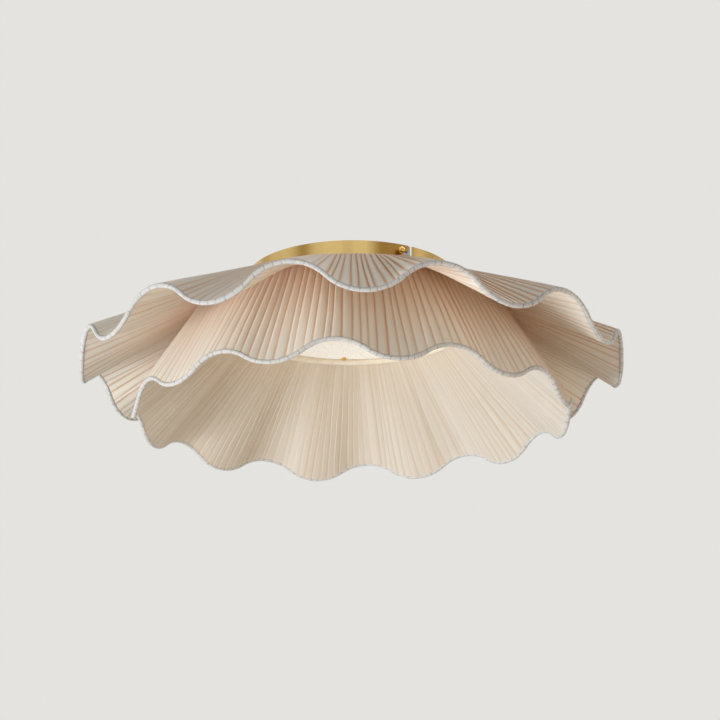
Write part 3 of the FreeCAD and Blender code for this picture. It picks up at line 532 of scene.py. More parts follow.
@dataclass(frozen=True)
class ScallopedLoop:
    """A closed line round the Z axis of one arc per crest and one per trough.

    A wave of 0 makes it a circle. The phase is the angle of a crest.
    """

    radius: float
    height: float
    wave: float = 0.0
    phase: float = 0.0

    def crossing_radius(self) -> float:
        """Find the radius between crest and trough at which the arcs meet without a kink.

        Returns:
            The radius. Each round of the search comes closer to it.
        """
        half = math.radians(HALF_WAVE / 2)
        crossing = self.radius
        for _ in range(SEARCH_ROUNDS):
            half_chord = crossing * math.sin(half)
            rise = math.hypot(self.radius - crossing * math.cos(half), self.wave)
            slack = (1 - (rise / half_chord) ** 2) / 2
            crossing = self.radius / (math.cos(half) + math.sin(half) * math.tan(half) * slack)
        return crossing

    def points(self, angles: np.ndarray) -> np.ndarray:
        """Points of the loop at angles round the Z axis.

        Args:
            angles: Angles in degrees, in an array of any shape.

        Returns:
            The points, with their coordinates along the last axis.
        """
        number = np.round((angles - self.phase) / HALF_WAVE)
        middle_angle = self.phase + number * HALF_WAVE
        along = (angles - middle_angle) / (HALF_WAVE / 2)
        lift = np.where(number % 2 == 0, self.wave, -self.wave)
        middle = polar(self.radius, middle_angle, self.height + lift)
        crossing = self.crossing_radius()
        start = polar(crossing, middle_angle - HALF_WAVE / 2, self.height)
        end = polar(crossing, middle_angle + HALF_WAVE / 2, self.height)
        half_chord = (end - start) / 2
        bulge = middle - (start + end) / 2
        reach = np.linalg.norm(half_chord, axis=-1)
        rise = np.linalg.norm(bulge, axis=-1)
        arc_radius = (reach ** 2 + rise ** 2) / (2 * rise)
        swing = along * np.arcsin(reach / arc_radius)
        return (middle + unit(half_chord) * (arc_radius * np.sin(swing))[..., None]
                - unit(bulge) * (arc_radius * (1 - np.cos(swing)))[..., None])


def beside(start: ScallopedLoop, end: ScallopedLoop, offset: float,
           along: float) -> tuple[float, float]:
    """Find the radius and height of a point near `start`, beside the straight way to `end`.

    Args:
        start: The loop that the way starts from.
        end: The loop that it goes to.
        offset: Distance to the left of the way, seen with the radius to the right.
        along: Distance gone along the way, which may be negative.

    Returns:
        The point's radius and height.
    """
    heading = math.atan2(end.height - start.height, end.radius - start.radius)
    return (start.radius + along * math.cos(heading) - offset * math.sin(heading),
            start.height + along * math.sin(heading) + offset * math.cos(heading))


def new_piece(name: str, points: np.ndarray, corners: np.ndarray, corner_uv: np.ndarray,
              shades: dict[str, np.ndarray]) -> bpy.types.Object:
    """Make a smooth object of four-cornered faces.

    Args:
        name: The piece's name.
        points: Coordinates of the vertices, along the last axis.
        corners: Numbers of each face's four vertices, along the last axis.
        corner_uv: The UV place of each corner, along the last axis.
        shades: Values of the mesh's attributes at each vertex, by attribute name.

    Returns:
        The new object.
    """
    mesh = bpy.data.meshes.new(name)
    mesh.from_pydata(points.reshape(-1, 3).tolist(), [], corners.reshape(-1, 4).tolist())
    layer = mesh.uv_layers.new(name="cloth")
    layer.data.foreach_set("uv", corner_uv.reshape(-1).astype(np.float32))
    for shade, values in shades.items():
        attribute = mesh.attributes.new(shade, "FLOAT", "POINT")
        attribute.data.foreach_set("value", values.reshape(-1).astype(np.float32))
    mesh.shade_smooth()
    piece = bpy.data.objects.new(name, mesh)
    bpy.context.scene.collection.objects.link(piece)
    return piece


def ring_mesh(name: str, points: np.ndarray, uv: np.ndarray, shades: dict[str, np.ndarray],
              turned: bool = False) -> bpy.types.Object:
    """Make a mesh from rows of points that each close round the Z axis.

    Args:
        name: The piece's name.
        points: Coordinates by row, column and axis.
        uv: Distances round and along by row, column and axis, with one more column than points.
        shades: Values of the mesh's attributes by row and column, by attribute name.
        turned: True where the faces otherwise point the wrong way.

    Returns:
        The new object, with smooth faces.
    """
    rows, columns = points.shape[:2]
    row, column = np.meshgrid(np.arange(rows - 1), np.arange(columns), indexing="ij")
    following = (column + 1) % columns
    corners = np.stack([row * columns + column, row * columns + following,
                        (row + 1) * columns + following, (row + 1) * columns + column], axis=-1)
    corner_uv = np.stack([uv[row, column], uv[row, column + 1],
                          uv[row + 1, column + 1], uv[row + 1, column]], axis=-2)
    if turned:
        corners, corner_uv = corners[..., ::-1], corner_uv[..., ::-1, :]
    return new_piece(name, points, corners, corner_uv, shades)


def select_only(piece: bpy.types.Object) -> None:
    """Leave one object selected and active.

    Args:
        piece: That object.
    """
    bpy.ops.object.select_all(action="DESELECT")
    piece.select_set(True)
    bpy.context.view_layer.objects.active = piece


def apply_modifier(piece: bpy.types.Object, kind: str, **settings: object) -> None:
    """Add a modifier with these settings and apply it.

    Args:
        piece: The object that it shapes.
        kind: Blender's name of the modifier's type.
        settings: Values of the modifier's settings.
    """
    modifier = piece.modifiers.new(kind.lower(), kind)
    for name, value in settings.items():
        setattr(modifier, name, value)
    select_only(piece)
    bpy.ops.object.modifier_apply(modifier=modifier.name)


# ---------------------------------------------------------------- the shade's lines
TOP_RING = ScallopedLoop(173 * MM, -42.5 * MM)
DIFFUSER_RING = ScallopedLoop(129.5 * MM, -60.5 * MM)
OUTER_RIM = ScallopedLoop(300 * MM, -108 * MM, wave=16.4 * MM, phase=-12.3)
INNER_RIM = ScallopedLoop(242 * MM, -165 * MM, wave=10 * MM, phase=-4.1)
TOP_TAPE_RADIUS = 3.85 * MM
HEM_TAPE_RADIUS = 3.35 * MM
RIM_TAPE_RADIUS = 2.6 * MM
COVER_OVER_RING = 4.55 * MM  # top ring's axis to the cover that lies over its tape
SKIN_OFFSET = 1.95 * MM      # rim's axis to the middle of either skin beside it
INNER_SET_IN = 2.2 * MM      # the deep tier's cover hangs this far inside the top ring's axis
TUCK = 0.7 * MM              # how far a skin's edge reaches into the tape at its end
RING_TUCK = 1.2 * MM         # the same at the top ring


class Showing(Enum):
    """The side of a skin that its pleats stand out on."""

    ABOVE = 1
    BELOW = -1


@dataclass(frozen=True)
class Pleats:
    """Knife pleats: each strip starts at a raised fold and runs down under the next fold.

    `unevenness` and `wander` say how far a fold may stand from its even place and move on its
    way down, as shares of a pleat's width, and `ring_shade` how strongly the cloth at its top is
    painted over with warm shade. `places` are the profile's points along one pleat, `lifts` how
    far they stand out as shares of its height, and `crease_shades` how much painted shade each
    point gets, most in the fold. The angles are drawn at random from `seed`, the heights from the
    next one and the shades from the one after.
    """

    per_wave: int
    height: float
    unevenness: float
    wander: float
    seed: int
    # painted warm shade over the cloth at its top, as a share of the fold colour
    ring_shade: float = 0.35
    ring_shade_fade: float = 1.5  # how soon the painted shade at the top ends on the way down
    wander_turn: float = 4.0    # radians of its swing that a fold makes from the top to the rim
    pressed: float = 0.35       # share of the height left at either end
    heights: tuple[float, float] = (0.75, 1.20)  # lowest and highest pleat, as shares of `height`
    depths: tuple[float, float] = (0.35, 1.10)   # faintest and strongest painted shade in the folds
    tones: tuple[float, float] = (0.0, 0.6)      # palest and darkest strip
    places: tuple[float, ...] = (0.0, 0.07, 0.17, 0.45, 0.72, 0.90)
    lifts: tuple[float, ...] = (-0.15, 0.45, 0.95, 0.82, 0.42, 0.05)
    # painted shade at each point of the profile, most in the fold
    crease_shades: tuple[float, ...] = (0.85, 0.35, 0.00, 0.00, 0.05, 0.50)

    def count(self) -> int:
        """Pleats all the way round."""
        return self.per_wave * WAVES

    def angles(self, along: np.ndarray) -> np.ndarray:
        """Find the angles of the profile's points, by row and column.

        Args:
            along: Each row's share of the way from the top edge to the rim.

        Returns:
            Angles in degrees. The folds stand a little unevenly and wander on their way down.
        """
        hand = np.random.default_rng(self.seed)
        count = self.count()
        pitch = 360.0 / count
        folds = pitch * (np.arange(count) + self.unevenness * hand.uniform(-0.5, 0.5, count))
        drift = pitch * self.wander * hand.uniform(-1, 1, count)
        start = hand.uniform(0, 2 * math.pi, count)
        folds = folds + drift * np.sin(start + self.wander_turn * along[:, None])
        following = np.roll(folds, -1, axis=1)
        following[:, -1] += 360.0
        angles = folds[..., None] + (following - folds)[..., None] * np.array(self.places)
        return angles.reshape(len(along), -1)

    def lift(self, along: np.ndarray) -> np.ndarray:
        """How far each point stands out of the skin.

        Args:
            along: Each row's share of the way from the top edge to the rim.

        Returns:
            Distances in metres, by row and column. The pleats are pressed flat at both ends.
        """
        hand = np.random.default_rng(self.seed + 1)
        each = self.height * hand.uniform(*self.heights, self.count())
        middle = np.sqrt(np.sin(math.pi * np.clip(along, 0.0, 1.0)))
        standing = self.pressed + (1 - self.pressed) * middle
        lifts = standing[:, None, None] * each[:, None] * np.array(self.lifts)
        return lifts.reshape(len(along), -1)

    def shades(self, along: np.ndarray) -> dict[str, np.ndarray]:
        """Shade the points for the cloth's material.

        Towards the ring all of the cloth is painted warmer, a painted shade that fades on the way
        down.

        Args:
            along: Each row's share of the way from the top edge to the rim.

        Returns:
            The painted `crease_shade` and the random `tone` of each point, by row and column.
        """
        hand = np.random.default_rng(self.seed + 2)
        tone = np.repeat(hand.uniform(*self.tones, self.count()), len(self.places))
        depth = hand.uniform(*self.depths, self.count())
        # painted shade at each point, most in the fold
        crease_shade = (depth[:, None] * np.array(self.crease_shades)).reshape(-1)
        # painted warm shade near the ring, fading towards the rim
        ring_shaded = self.ring_shade * (1.0 - along[:, None]) ** self.ring_shade_fade
        return {"tone": np.tile(tone, (len(along), 1)),
                "crease_shade": ring_shaded + (1.0 - ring_shaded) * crease_shade}


@dataclass(frozen=True)
class PleatedSkin:
    """One layer of pleated cloth from a round top edge to a scalloped rim.

    `top` and `rim` are (offset to the left, distance along) of its edges beside the ring's and
    the rim's axes, as `beside` takes them. `roll` is the angle, from outwards over the top, at
    which a skin that wraps over the ring ends; without it the skin starts at `top`.
    """

    name: str
    node: str
    ring: ScallopedLoop
    rim_line: ScallopedLoop
    top: tuple[float, float]
    rim: tuple[float, float]
    pleats: Pleats
    showing: Showing
    finish: PleatedCloth
    flat_width: float
    rests_on: tuple[str, ...]
    roll: float | None = None
    roll_rows: int = 6
    rows: int = 22
    thickness: float = 0.4 * MM
    crisp_fold: float = 40.0  # folds sharper than this show an edge

    def edges(self) -> tuple[ScallopedLoop, ScallopedLoop]:
        """Find the skin's edges beside the ring and the rim.

        Returns:
            The top edge and the rim edge as loops.
        """
        top = beside(self.ring, self.rim_line, *self.top)
        offset, along = self.rim
        rim = beside(self.rim_line, self.ring, -offset, along)
        return ScallopedLoop(*top), ScallopedLoop(*rim, self.rim_line.wave, self.rim_line.phase)

    def rolled_loops(self) -> list[ScallopedLoop]:
        """Find the loops of the part that wraps over the ring.

        Returns:
            Loops from its end up to the top edge, or none where nothing wraps.
        """
        if self.roll is None:
            return []
        top, _ = self.edges()
        reach = math.hypot(top.radius - self.ring.radius, top.height - self.ring.height)
        start = math.atan2(top.height - self.ring.height, top.radius - self.ring.radius)
        turns = np.linspace(math.radians(self.roll), start, self.roll_rows + 1)[:-1]
        return [ScallopedLoop(self.ring.radius + reach * math.cos(turn),
                              self.ring.height + reach * math.sin(turn)) for turn in turns]

    def build(self) -> bpy.types.Object:
        """Make the skin's mesh, thicken it, dress it and put it in the CAD skin's place.

        Returns:
            The skin.
        """
        top, rim = self.edges()
        rolled = self.rolled_loops()
        along = np.concatenate([np.zeros(len(rolled)), np.linspace(0.0, 1.0, self.rows)])
        angles = self.pleats.angles(along)
        upper, lower = top.points(angles), rim.points(angles)
        base = upper + along[:, None, None] * (lower - upper)
        for row, loop in enumerate(rolled):
            base[row] = loop.points(angles[row])
        round_way = np.roll(base, -1, axis=1) - np.roll(base, 1, axis=1)
        normal = unit(np.cross(round_way, np.gradient(base, axis=0))) * -self.showing.value
        points = base + normal * self.pleats.lift(along)[..., None]
        down = np.concatenate([np.zeros((1, base.shape[1])),
                               np.cumsum(np.linalg.norm(np.diff(base, axis=0), axis=-1), axis=0)])
        wide = np.concatenate([angles, angles[:, :1] + 360.0], axis=1)
        middle_radius = (top.radius + rim.radius) / 2
        uv = np.stack([np.radians(wide) * middle_radius,
                       np.concatenate([down, down[:, :1]], axis=1)], axis=-1)
        skin = ring_mesh(self.name, points, uv, self.pleats.shades(along),
                         self.showing is Showing.ABOVE)
        apply_modifier(skin, "SOLIDIFY", thickness=self.thickness, offset=-1.0)
        bpy.ops.object.shade_smooth_by_angle(angle=math.radians(self.crisp_fold))
        self.finish.dress(skin)
        put_in_place_of(skin, self.node)
        return skin


def put_in_place_of(piece: bpy.types.Object, node: str) -> bpy.types.Object:
    """Let a piece take a CAD node's place and move with that node's body.

    Args:
        piece: The new piece, in place.
        node: The CAD node that it replaces.

    Returns:
        The same piece.
    """
    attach(piece, FRAME["nodes"][node]["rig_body"])
    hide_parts(node)
    return piece


@dataclass(frozen=True)
class WoundBinding:
    """Tape wound in a helix round a wire, each turn lapping the one before.

    A turn stands square to the wire where it shows, and moves on behind, where the cloth meets it.
    """

    name: str
    node: str
    line: ScallopedLoop
    radius: float
    turn_width: float
    finish: WoundTape
    seed: int
    sides: int = 12
    glance: float = 0.05            # degrees either way, to find the wire's direction
    thickness_spread: float = 0.05  # how much thicker or thinner a turn may be
    width_spread: float = 0.45      # how much wider or narrower a turn may show
    shallowest_lap: float = 0.2     # as a share of the deepest
    lap_seed: int = 50              # added to `seed` for the depths of the laps
    slant: float = 0.2              # share of its advance that a turn makes where it shows
    behind: tuple[float, float] = (0.25, 0.55)  # shares of the way round between which it hides
    places: tuple[float, ...] = (0.0, 0.07, 0.35, 0.70, 0.93)
    lifts: tuple[float, ...] = (-0.08, 0.02, 0.0, -0.02, -0.04)
    # painted shadow and dust at the laps, by column of a turn
    laps: tuple[float, ...] = (1.0, 0.10, 0.0, 0.0, 0.10)

    def build(self) -> bpy.types.Object:
        """Make the wound tape's mesh, dress it and put it in the CAD tape's place.

        Returns:
            The tape.
        """
        hand = np.random.default_rng(self.seed)
        turns = round(2 * math.pi * self.line.radius / self.turn_width)
        each = 1 + self.thickness_spread * hand.uniform(-1, 1, turns)
        widths = 1 + self.width_spread * hand.uniform(-1, 1, turns)
        starts = np.concatenate([[0.0], np.cumsum(widths)])
        starts *= 360.0 / starts[-1]
        column_angle = starts[:-1, None] + np.diff(starts)[:, None] * np.array(self.places)
        column_angle = column_angle.reshape(-1)
        column_lift = (each[:, None] * (1 + np.array(self.lifts))).reshape(-1)
        columns, per_turn = len(column_angle), len(self.places)
        side, column = np.meshgrid(np.arange(self.sides + 1), np.arange(columns), indexing="ij")
        share = side / self.sides
        start, end = self.behind
        hidden = np.clip((share - start) / (end - start), 0.0, 1.0)
        smooth = hidden ** 2 * (3.0 - 2.0 * hidden)  # leaves and arrives without a kink
        advance = self.slant * share + (1 - self.slant) * smooth
        later = np.concatenate([column_angle, column_angle + 360.0])
        angles = later[column] + advance * (later[column + per_turn] - later[column])
        line = self.line.points(angles)
        ahead = unit(self.line.points(angles + self.glance)
                     - self.line.points(angles - self.glance))
        outwards = unit(np.cross(ahead, np.array([0.0, 0.0, 1.0])))
        upwards = np.cross(outwards, ahead)
        turn = 2 * math.pi * share
        next_lift = column_lift[(column + per_turn) % columns]
        lift = column_lift[column] + advance * (next_lift - column_lift[column])
        points = line + (self.radius * lift)[..., None] * (
            outwards * np.cos(turn)[..., None] + upwards * np.sin(turn)[..., None])
        tape = self.mesh(points, angles, per_turn)
        self.finish.dress(tape)
        return put_in_place_of(tape, self.node)

    def mesh(self, points: np.ndarray, angles: np.ndarray, per_turn: int) -> bpy.types.Object:
        """Join the helix's columns into a closed tube: each side ends one turn further on.

        Args:
            points: Coordinates by side, column and axis, with the last side on the next turn.
            angles: Angles by side and column.
            per_turn: Columns in one turn of the tape.

        Returns:
            The new object.
        """
        columns = points.shape[1]
        side, column = np.meshgrid(np.arange(self.sides), np.arange(columns), indexing="ij")

        def vertex(at_side: np.ndarray, at_column: np.ndarray) -> np.ndarray:
            """Number the vertices at sides and columns, past the seams too.

            Args:
                at_side: Sides, from 0 to one past the last.
                at_column: Columns, from 0 to one past the last.

            Returns:
                Each vertex's number in the mesh.
            """
            last = at_side == self.sides
            onward = (at_column + np.where(last, per_turn, 0)) % columns
            return np.where(last, 0, at_side) * columns + onward

        corners = np.stack([vertex(side, column), vertex(side + 1, column),
                            vertex(side + 1, column + 1), vertex(side, column + 1)], axis=-1)
        wide = np.concatenate([angles, angles[:, :1] + 360.0], axis=1)
        around = np.broadcast_to(np.arange(self.sides + 1)[:, None] / self.sides, wide.shape)
        uv = np.stack([np.radians(wide) * self.line.radius,
                       around * 2 * math.pi * self.radius], axis=-1)
        corner_uv = np.stack([uv[side, column], uv[side + 1, column],
                              uv[side + 1, column + 1], uv[side, column + 1]], axis=-2)
        hand = np.random.default_rng(self.seed + self.lap_seed)
        depths = hand.uniform(self.shallowest_lap, 1.0, columns // per_turn)
        laps = (depths[:, None] * np.array(self.laps)).reshape(-1)
        shades = {"lap": np.tile(laps, self.sides)}
        return new_piece(self.name, points[:-1], corners, corner_uv, shades)


@dataclass(frozen=True)
class Shade:
    """Both tiers of the shade: four pleated skins and the tape wound round the four rings."""

    outer_per_wave: int = 19
    inner_per_wave: int = 13
    lining_per_wave: int = 15
    outer_width: float = 1.97  # of the cloth laid flat: the wide rim's length along its wave
    inner_width: float = 1.58  # the same for the deep rim
    rim_turn: float = 9 * MM   # along the wire, from one turn of the tape to the next
    ring_turn: float = 14 * MM

    def bindings(self) -> list[WoundBinding]:
        """List the tape on the rims and the rings.

        Returns:
            Its four windings.
        """
        return [
            WoundBinding("outer_rim_binding", "outer_rim_tape", OUTER_RIM, RIM_TAPE_RADIUS,
                         self.rim_turn, BINDING_TAPE, seed=11),
            WoundBinding("inner_rim_binding", "inner_rim_tape", INNER_RIM, RIM_TAPE_RADIUS,
                         self.rim_turn, BINDING_TAPE, seed=12),
            WoundBinding("top_ring_binding", "top_ring_tape", TOP_RING, TOP_TAPE_RADIUS,
                         self.ring_turn, BINDING_TAPE, seed=13),
            WoundBinding("diffuser_ring_binding", "diffuser_ring_tape", DIFFUSER_RING,
                         HEM_TAPE_RADIUS, self.ring_turn, HEM_TAPE, seed=14,
                         lifts=(-0.02, 0.0, 0.0, 0.0, 0.0), laps=(0.5, 0.2, 0.0, 0.0, 0.2)),
        ]

    def skins(self) -> list[PleatedSkin]:
        """List the four layers of pleated cloth, from the top skin inwards.

        Returns:
            The skins, with the pleats of each.
        """
        rim_edge = (SKIN_OFFSET, TUCK)
        under_rim_edge = (-SKIN_OFFSET, TUCK)
        outer = Pleats(self.outer_per_wave, height=1.5 * MM, unevenness=0.45, wander=0.12, seed=21,
                       crease_shades=(1.00, 0.80, 0.25, 0.00, 0.10, 0.80))
        under = Pleats(self.outer_per_wave, height=0.9 * MM, unevenness=0.60, wander=0.20, seed=22,
                       ring_shade=0.40)
        inner = Pleats(self.inner_per_wave, height=1.1 * MM, unevenness=0.35, wander=0.14, seed=23,
                       ring_shade=0.65)
        lining = Pleats(self.lining_per_wave, height=0.7 * MM, unevenness=0.60, wander=0.25,
                        seed=24, ring_shade=0.15, places=(0.00, 0.12, 0.40, 0.78, 0.88, 0.95),
                        lifts=(0.00, 0.06, 0.22, 0.80, 1.00, 0.45),
                        crease_shades=(0.70, 0.40, 0.10, 0.00, 0.00, 0.35))
        return [
            PleatedSkin("outer_cover_cloth", "outer_shade_cover", TOP_RING, OUTER_RIM,
                        top=(COVER_OVER_RING, 0.0), rim=rim_edge, pleats=outer,
                        showing=Showing.ABOVE, finish=COVER_CLOTH, flat_width=self.outer_width,
                        rests_on=("top_ring_binding", "outer_rim_binding"), roll=145.0),
            PleatedSkin("outer_lining_cloth", "outer_shade_lining", TOP_RING, OUTER_RIM,
                        top=(-SKIN_OFFSET, TOP_TAPE_RADIUS - RING_TUCK), rim=under_rim_edge,
                        pleats=under, showing=Showing.BELOW, finish=COVER_CLOTH,
                        flat_width=self.outer_width,
                        rests_on=("top_ring_binding", "outer_rim_binding")),
            PleatedSkin("inner_cover_cloth", "inner_shade_cover", TOP_RING, INNER_RIM,
                        top=(-INNER_SET_IN, TOP_TAPE_RADIUS - RING_TUCK), rim=rim_edge,
                        pleats=inner, showing=Showing.ABOVE, finish=COVER_CLOTH,
                        flat_width=self.inner_width,
                        rests_on=("top_ring_binding", "inner_rim_binding")),
            PleatedSkin("inner_lining_cloth", "inner_shade_lining", DIFFUSER_RING, INNER_RIM,
                        top=(0.0, HEM_TAPE_RADIUS - TUCK), rim=under_rim_edge, pleats=lining,
                        showing=Showing.BELOW, finish=LINING_CLOTH, flat_width=self.inner_width,
                        rests_on=("diffuser_ring_binding", "inner_rim_binding")),
        ]

    def build(self) -> None:
        """Wind the tape, then hang the cloth between the rings."""
        for binding in self.bindings():
            report(binding.build())
        for skin in self.skins():
            report(skin.build())


# ---------------------------------------------------------------- the canopy
@dataclass(frozen=True)
class Canopy:
    """Spun brass canopy with a rounded lower edge and two J-shaped slots for the side screws."""

    wall: float = 1.2 * MM
    edge_radius: float = 3.0 * MM
    slot_angle: float = 26.5  # of the locked end of one slot
    slot_turn: float = 7.0    # from there to the open end
    slot_width: float = 4.3 * MM
    slot_depth: float = 9.0 * MM
    cable_hole_radius: float = 6.0 * MM
    cutter_depth: float = 9.6 * MM  # of what cuts through the wall, from side to side
    sides: int = 288
    edge_steps: int = 6
    pin_sides: int = 32
    hole_sides: int = 48
    crisp_edge: float = 30.0  # edges sharper than this show

    def build(self) -> bpy.types.Object:
        """Turn the wall, open its top, round its edge, cut the slots and the hole, and dress it.

        Returns:
            The canopy.
        """
        low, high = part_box("canopy")
        radius, height = high.x, high.z - low.z
        bpy.ops.object.select_all(action="DESELECT")
        bpy.ops.mesh.primitive_cylinder_add(vertices=self.sides, radius=radius, depth=height,
                                            location=(0.0, 0.0, (low.z + high.z) / 2))
        canopy = bpy.context.object
        canopy.name = canopy.data.name = "spun_canopy"
        bpy.ops.object.transform_apply(location=True, rotation=True, scale=True)
        self.open_top(canopy, high.z)
        self.round_edge(canopy, low.z)
        apply_modifier(canopy, "SOLIDIFY", thickness=self.wall, offset=-1.0, use_even_offset=True)
        for half_turn in (0.0, 180.0):
            for cutter in self.slot_cutters(radius, high.z, half_turn):
                self.cut(canopy, cutter)
        self.cut(canopy, self.hole_cutter(low.z))
        bpy.ops.object.shade_smooth_by_angle(angle=math.radians(self.crisp_edge))
        BRUSHED_BRASS.dress(canopy)
        return put_in_place_of(canopy, "canopy")

    def open_top(self, canopy: bpy.types.Object, top: float) -> None:
        """Delete the cylinder's upper face.

        Args:
            canopy: The cylinder.
            top: Height of that face.
        """
        self.leave_unselected("FACE")
        for face in canopy.data.polygons:
            face.select = abs(face.center.z - top) < SAME_HEIGHT
        bpy.ops.object.mode_set(mode="EDIT")
        bpy.ops.mesh.delete(type="ONLY_FACE")
        bpy.ops.object.mode_set(mode="OBJECT")

    def round_edge(self, canopy: bpy.types.Object, bottom: float) -> None:
        """Round the lower edge, where the wall turns into the face.

        Args:
            canopy: The open cylinder.
            bottom: Height of its face.
        """
        self.leave_unselected("EDGE")
        mesh = canopy.data
        for edge in mesh.edges:
            edge.select = all(abs(mesh.vertices[v].co.z - bottom) < SAME_HEIGHT
                              for v in edge.vertices)
        bpy.ops.object.mode_set(mode="EDIT")
        bpy.ops.mesh.bevel(offset=self.edge_radius, segments=self.edge_steps, affect="EDGES")
        bpy.ops.object.mode_set(mode="OBJECT")

    def leave_unselected(self, kind: str) -> None:
        """Unselect all of the active mesh.

        Args:
            kind: The select mode that stays set, "FACE" or "EDGE".
        """
        bpy.ops.object.mode_set(mode="EDIT")
        bpy.ops.mesh.select_mode(type=kind)
        bpy.ops.mesh.select_all(action="DESELECT")
        bpy.ops.object.mode_set(mode="OBJECT")

    def slot_cutters(self, radius: float, top: float, half_turn: float) -> list[bpy.types.Object]:
        """Add the blocks and pins that cut one J-shaped slot.

        Args:
            radius: The canopy's outer radius.
            top: Height of its open rim.
            half_turn: Angle that the slot is turned by, 0 or 180.

        Returns:
            The upright leg, the sideways leg and the two round ends.
        """
        axis_z = top - self.slot_depth
        locked = self.slot_angle + half_turn
        entry = locked + self.slot_turn
        middle = locked + self.slot_turn / 2
        chord = 2 * radius * math.sin(math.radians(self.slot_turn / 2))
        rise = self.slot_depth + self.wall
        upright = (self.slot_width, self.cutter_depth, rise)
        sideways = (chord, self.cutter_depth, self.slot_width)
        return [
            self.block(entry, radius, axis_z + rise / 2, upright),
            self.block(middle, radius, axis_z, sideways),
            self.pin(locked, radius, axis_z),
            self.pin(entry, radius, axis_z),
        ]

    def block(self, angle: float, radius: float, z: float,
              size: tuple[float, float, float]) -> bpy.types.Object:
        """Add a cutting block across the wall.

        Args:
            angle: Angle of its middle, in degrees.
            radius: The canopy's outer radius.
            z: Height of its middle.
            size: Its length along the wall, its depth through the wall and its height.

        Returns:
            The block.
        """
        bpy.ops.object.select_all(action="DESELECT")
        bpy.ops.mesh.primitive_cube_add(size=1.0, location=polar(radius, angle, z).tolist(),
                                        rotation=(0.0, 0.0, math.radians(angle)), scale=size)
        return bpy.context.object

    def pin(self, angle: float, radius: float, z: float) -> bpy.types.Object:
        """Add a cutting pin as wide as the slot, across the wall.

        Args:
            angle: Angle of its middle, in degrees.
            radius: The canopy's outer radius.
            z: Height of its middle.

        Returns:
            The pin.
        """
        bpy.ops.object.select_all(action="DESELECT")
        bpy.ops.mesh.primitive_cylinder_add(
            vertices=self.pin_sides, radius=self.slot_width / 2, depth=self.cutter_depth,
            location=polar(radius, angle, z).tolist(),
            rotation=(math.radians(90), 0.0, math.radians(angle)))
        return bpy.context.object

    def hole_cutter(self, bottom: float) -> bpy.types.Object:
        """Add a pin that cuts the cable hole.

        Args:
            bottom: Height of the canopy's face.

        Returns:
            The pin.
        """
        bpy.ops.object.select_all(action="DESELECT")
        bpy.ops.mesh.primitive_cylinder_add(vertices=self.hole_sides, radius=self.cable_hole_radius,
                                            depth=self.cutter_depth, location=(0.0, 0.0, bottom))
        return bpy.context.object

    def cut(self, canopy: bpy.types.Object, cutter: bpy.types.Object) -> None:
        """Cut a block out of the canopy and delete the block."""
        apply_modifier(canopy, "BOOLEAN", operation="DIFFERENCE", object=cutter, solver="EXACT")
        bpy.data.objects.remove(cutter)


# ---------------------------------------------------------------- fittings that stay as they are
@dataclass(frozen=True)
class Fittings:
    """The rigid pieces that keep the frame's own shape and only take a finish."""

    lamps: int = 4
    diffuser_screws: int = 3

    def finishes(self) -> dict[str, Finish]:
        """Choose the finish of each CAD node that stays.

        Returns:
            Finishes by node name.
        """
        named = {
            "ceiling_bracket": ZINC_STEEL, "side_screw_right": POLISHED_BRASS,
            "side_screw_left": POLISHED_BRASS, "cable_grommet": BLACK_RUBBER,
            "terminal_block": MOULDED_PLASTIC, "terminal_screws": ZINC_STEEL,
            "supply_leads": LEAD_SLEEVE, "earth_screw": ZINC_STEEL, "earth_lead": EARTH_SLEEVE,
            "lampholder_block": COATED_STEEL, "lampholder_block_screws": ZINC_STEEL,
            "lampholders": GLAZED_CERAMIC, "lead_splice": MOULDED_PLASTIC,
            "lampholder_leads": LEAD_SLEEVE, "carrier_plate": COATED_STEEL,
            "carrier_screws": ZINC_STEEL, "carrier_nuts": ZINC_STEEL,
            "carrier_arms": COATED_STEEL, "diffuser_hangers": COATED_STEEL,
            "top_ring_wire": COATED_STEEL, "outer_rim_wire": COATED_STEEL,
            "outer_struts": COATED_STEEL, "inner_rim_wire": COATED_STEEL,
            "inner_struts": COATED_STEEL, "diffuser_ring": COATED_STEEL,
            "diffuser_disc": DIFFUSER_SHEET,
        }
        for number in range(1, self.lamps + 1):
            named[f"lamp_{number}_envelope"] = OPAL_GLASS
            named[f"lamp_{number}_base"] = GLAZED_CERAMIC
            named[f"lamp_{number}_pins"] = ZINC_STEEL
        for number in range(1, self.diffuser_screws + 1):
            named[f"diffuser_screw_{number}"] = POLISHED_BRASS
        return named

    def build(self) -> None:
        """Give every CAD node that stays its finish."""
        for name, finish in self.finishes().items():
            node = FRAME["nodes"][name]
            finish.dress(node)
            report(node)


# ---------------------------------------------------------------- studio
@dataclass(frozen=True)
class FloorPaint(Finish):
    """Matt pale paint that looks as pale to the camera as the background does."""

    paint: str
    lift: float

    def surface(self, tree: bpy.types.NodeTree) -> bpy.types.NodeSocket:
        """Matt paint, with a share of its colour added where the camera looks.

        Args:
            tree: The material's node tree.

        Returns:
            The shader's output.
        """
        lift = add_node(tree, "ShaderNodeMath", {"operation": "MULTIPLY"},
                        {0: looked_at(tree), 1: self.lift})
        return add_node(tree, "ShaderNodeBsdfPrincipled", inputs={
            "Base Color": linear(self.paint), "Roughness": 0.9,
            "Emission Color": linear(self.paint), "Emission Strength": lift.outputs[0]}).outputs[0]


WHITE = "#FFFFFF"
BACKGROUND = "#E4E3E0"
FLOOR_PAINT = FloorPaint("matt_pale_floor", slot="", paint=BACKGROUND, lift=0.6)


@dataclass(frozen=True)
class Lamp:
    """A soft square studio light: its power in watts, its side, its place and its colour."""

    name: str
    power: float
    side: float
    place: tuple[float, float, float]
    colour: str = WHITE


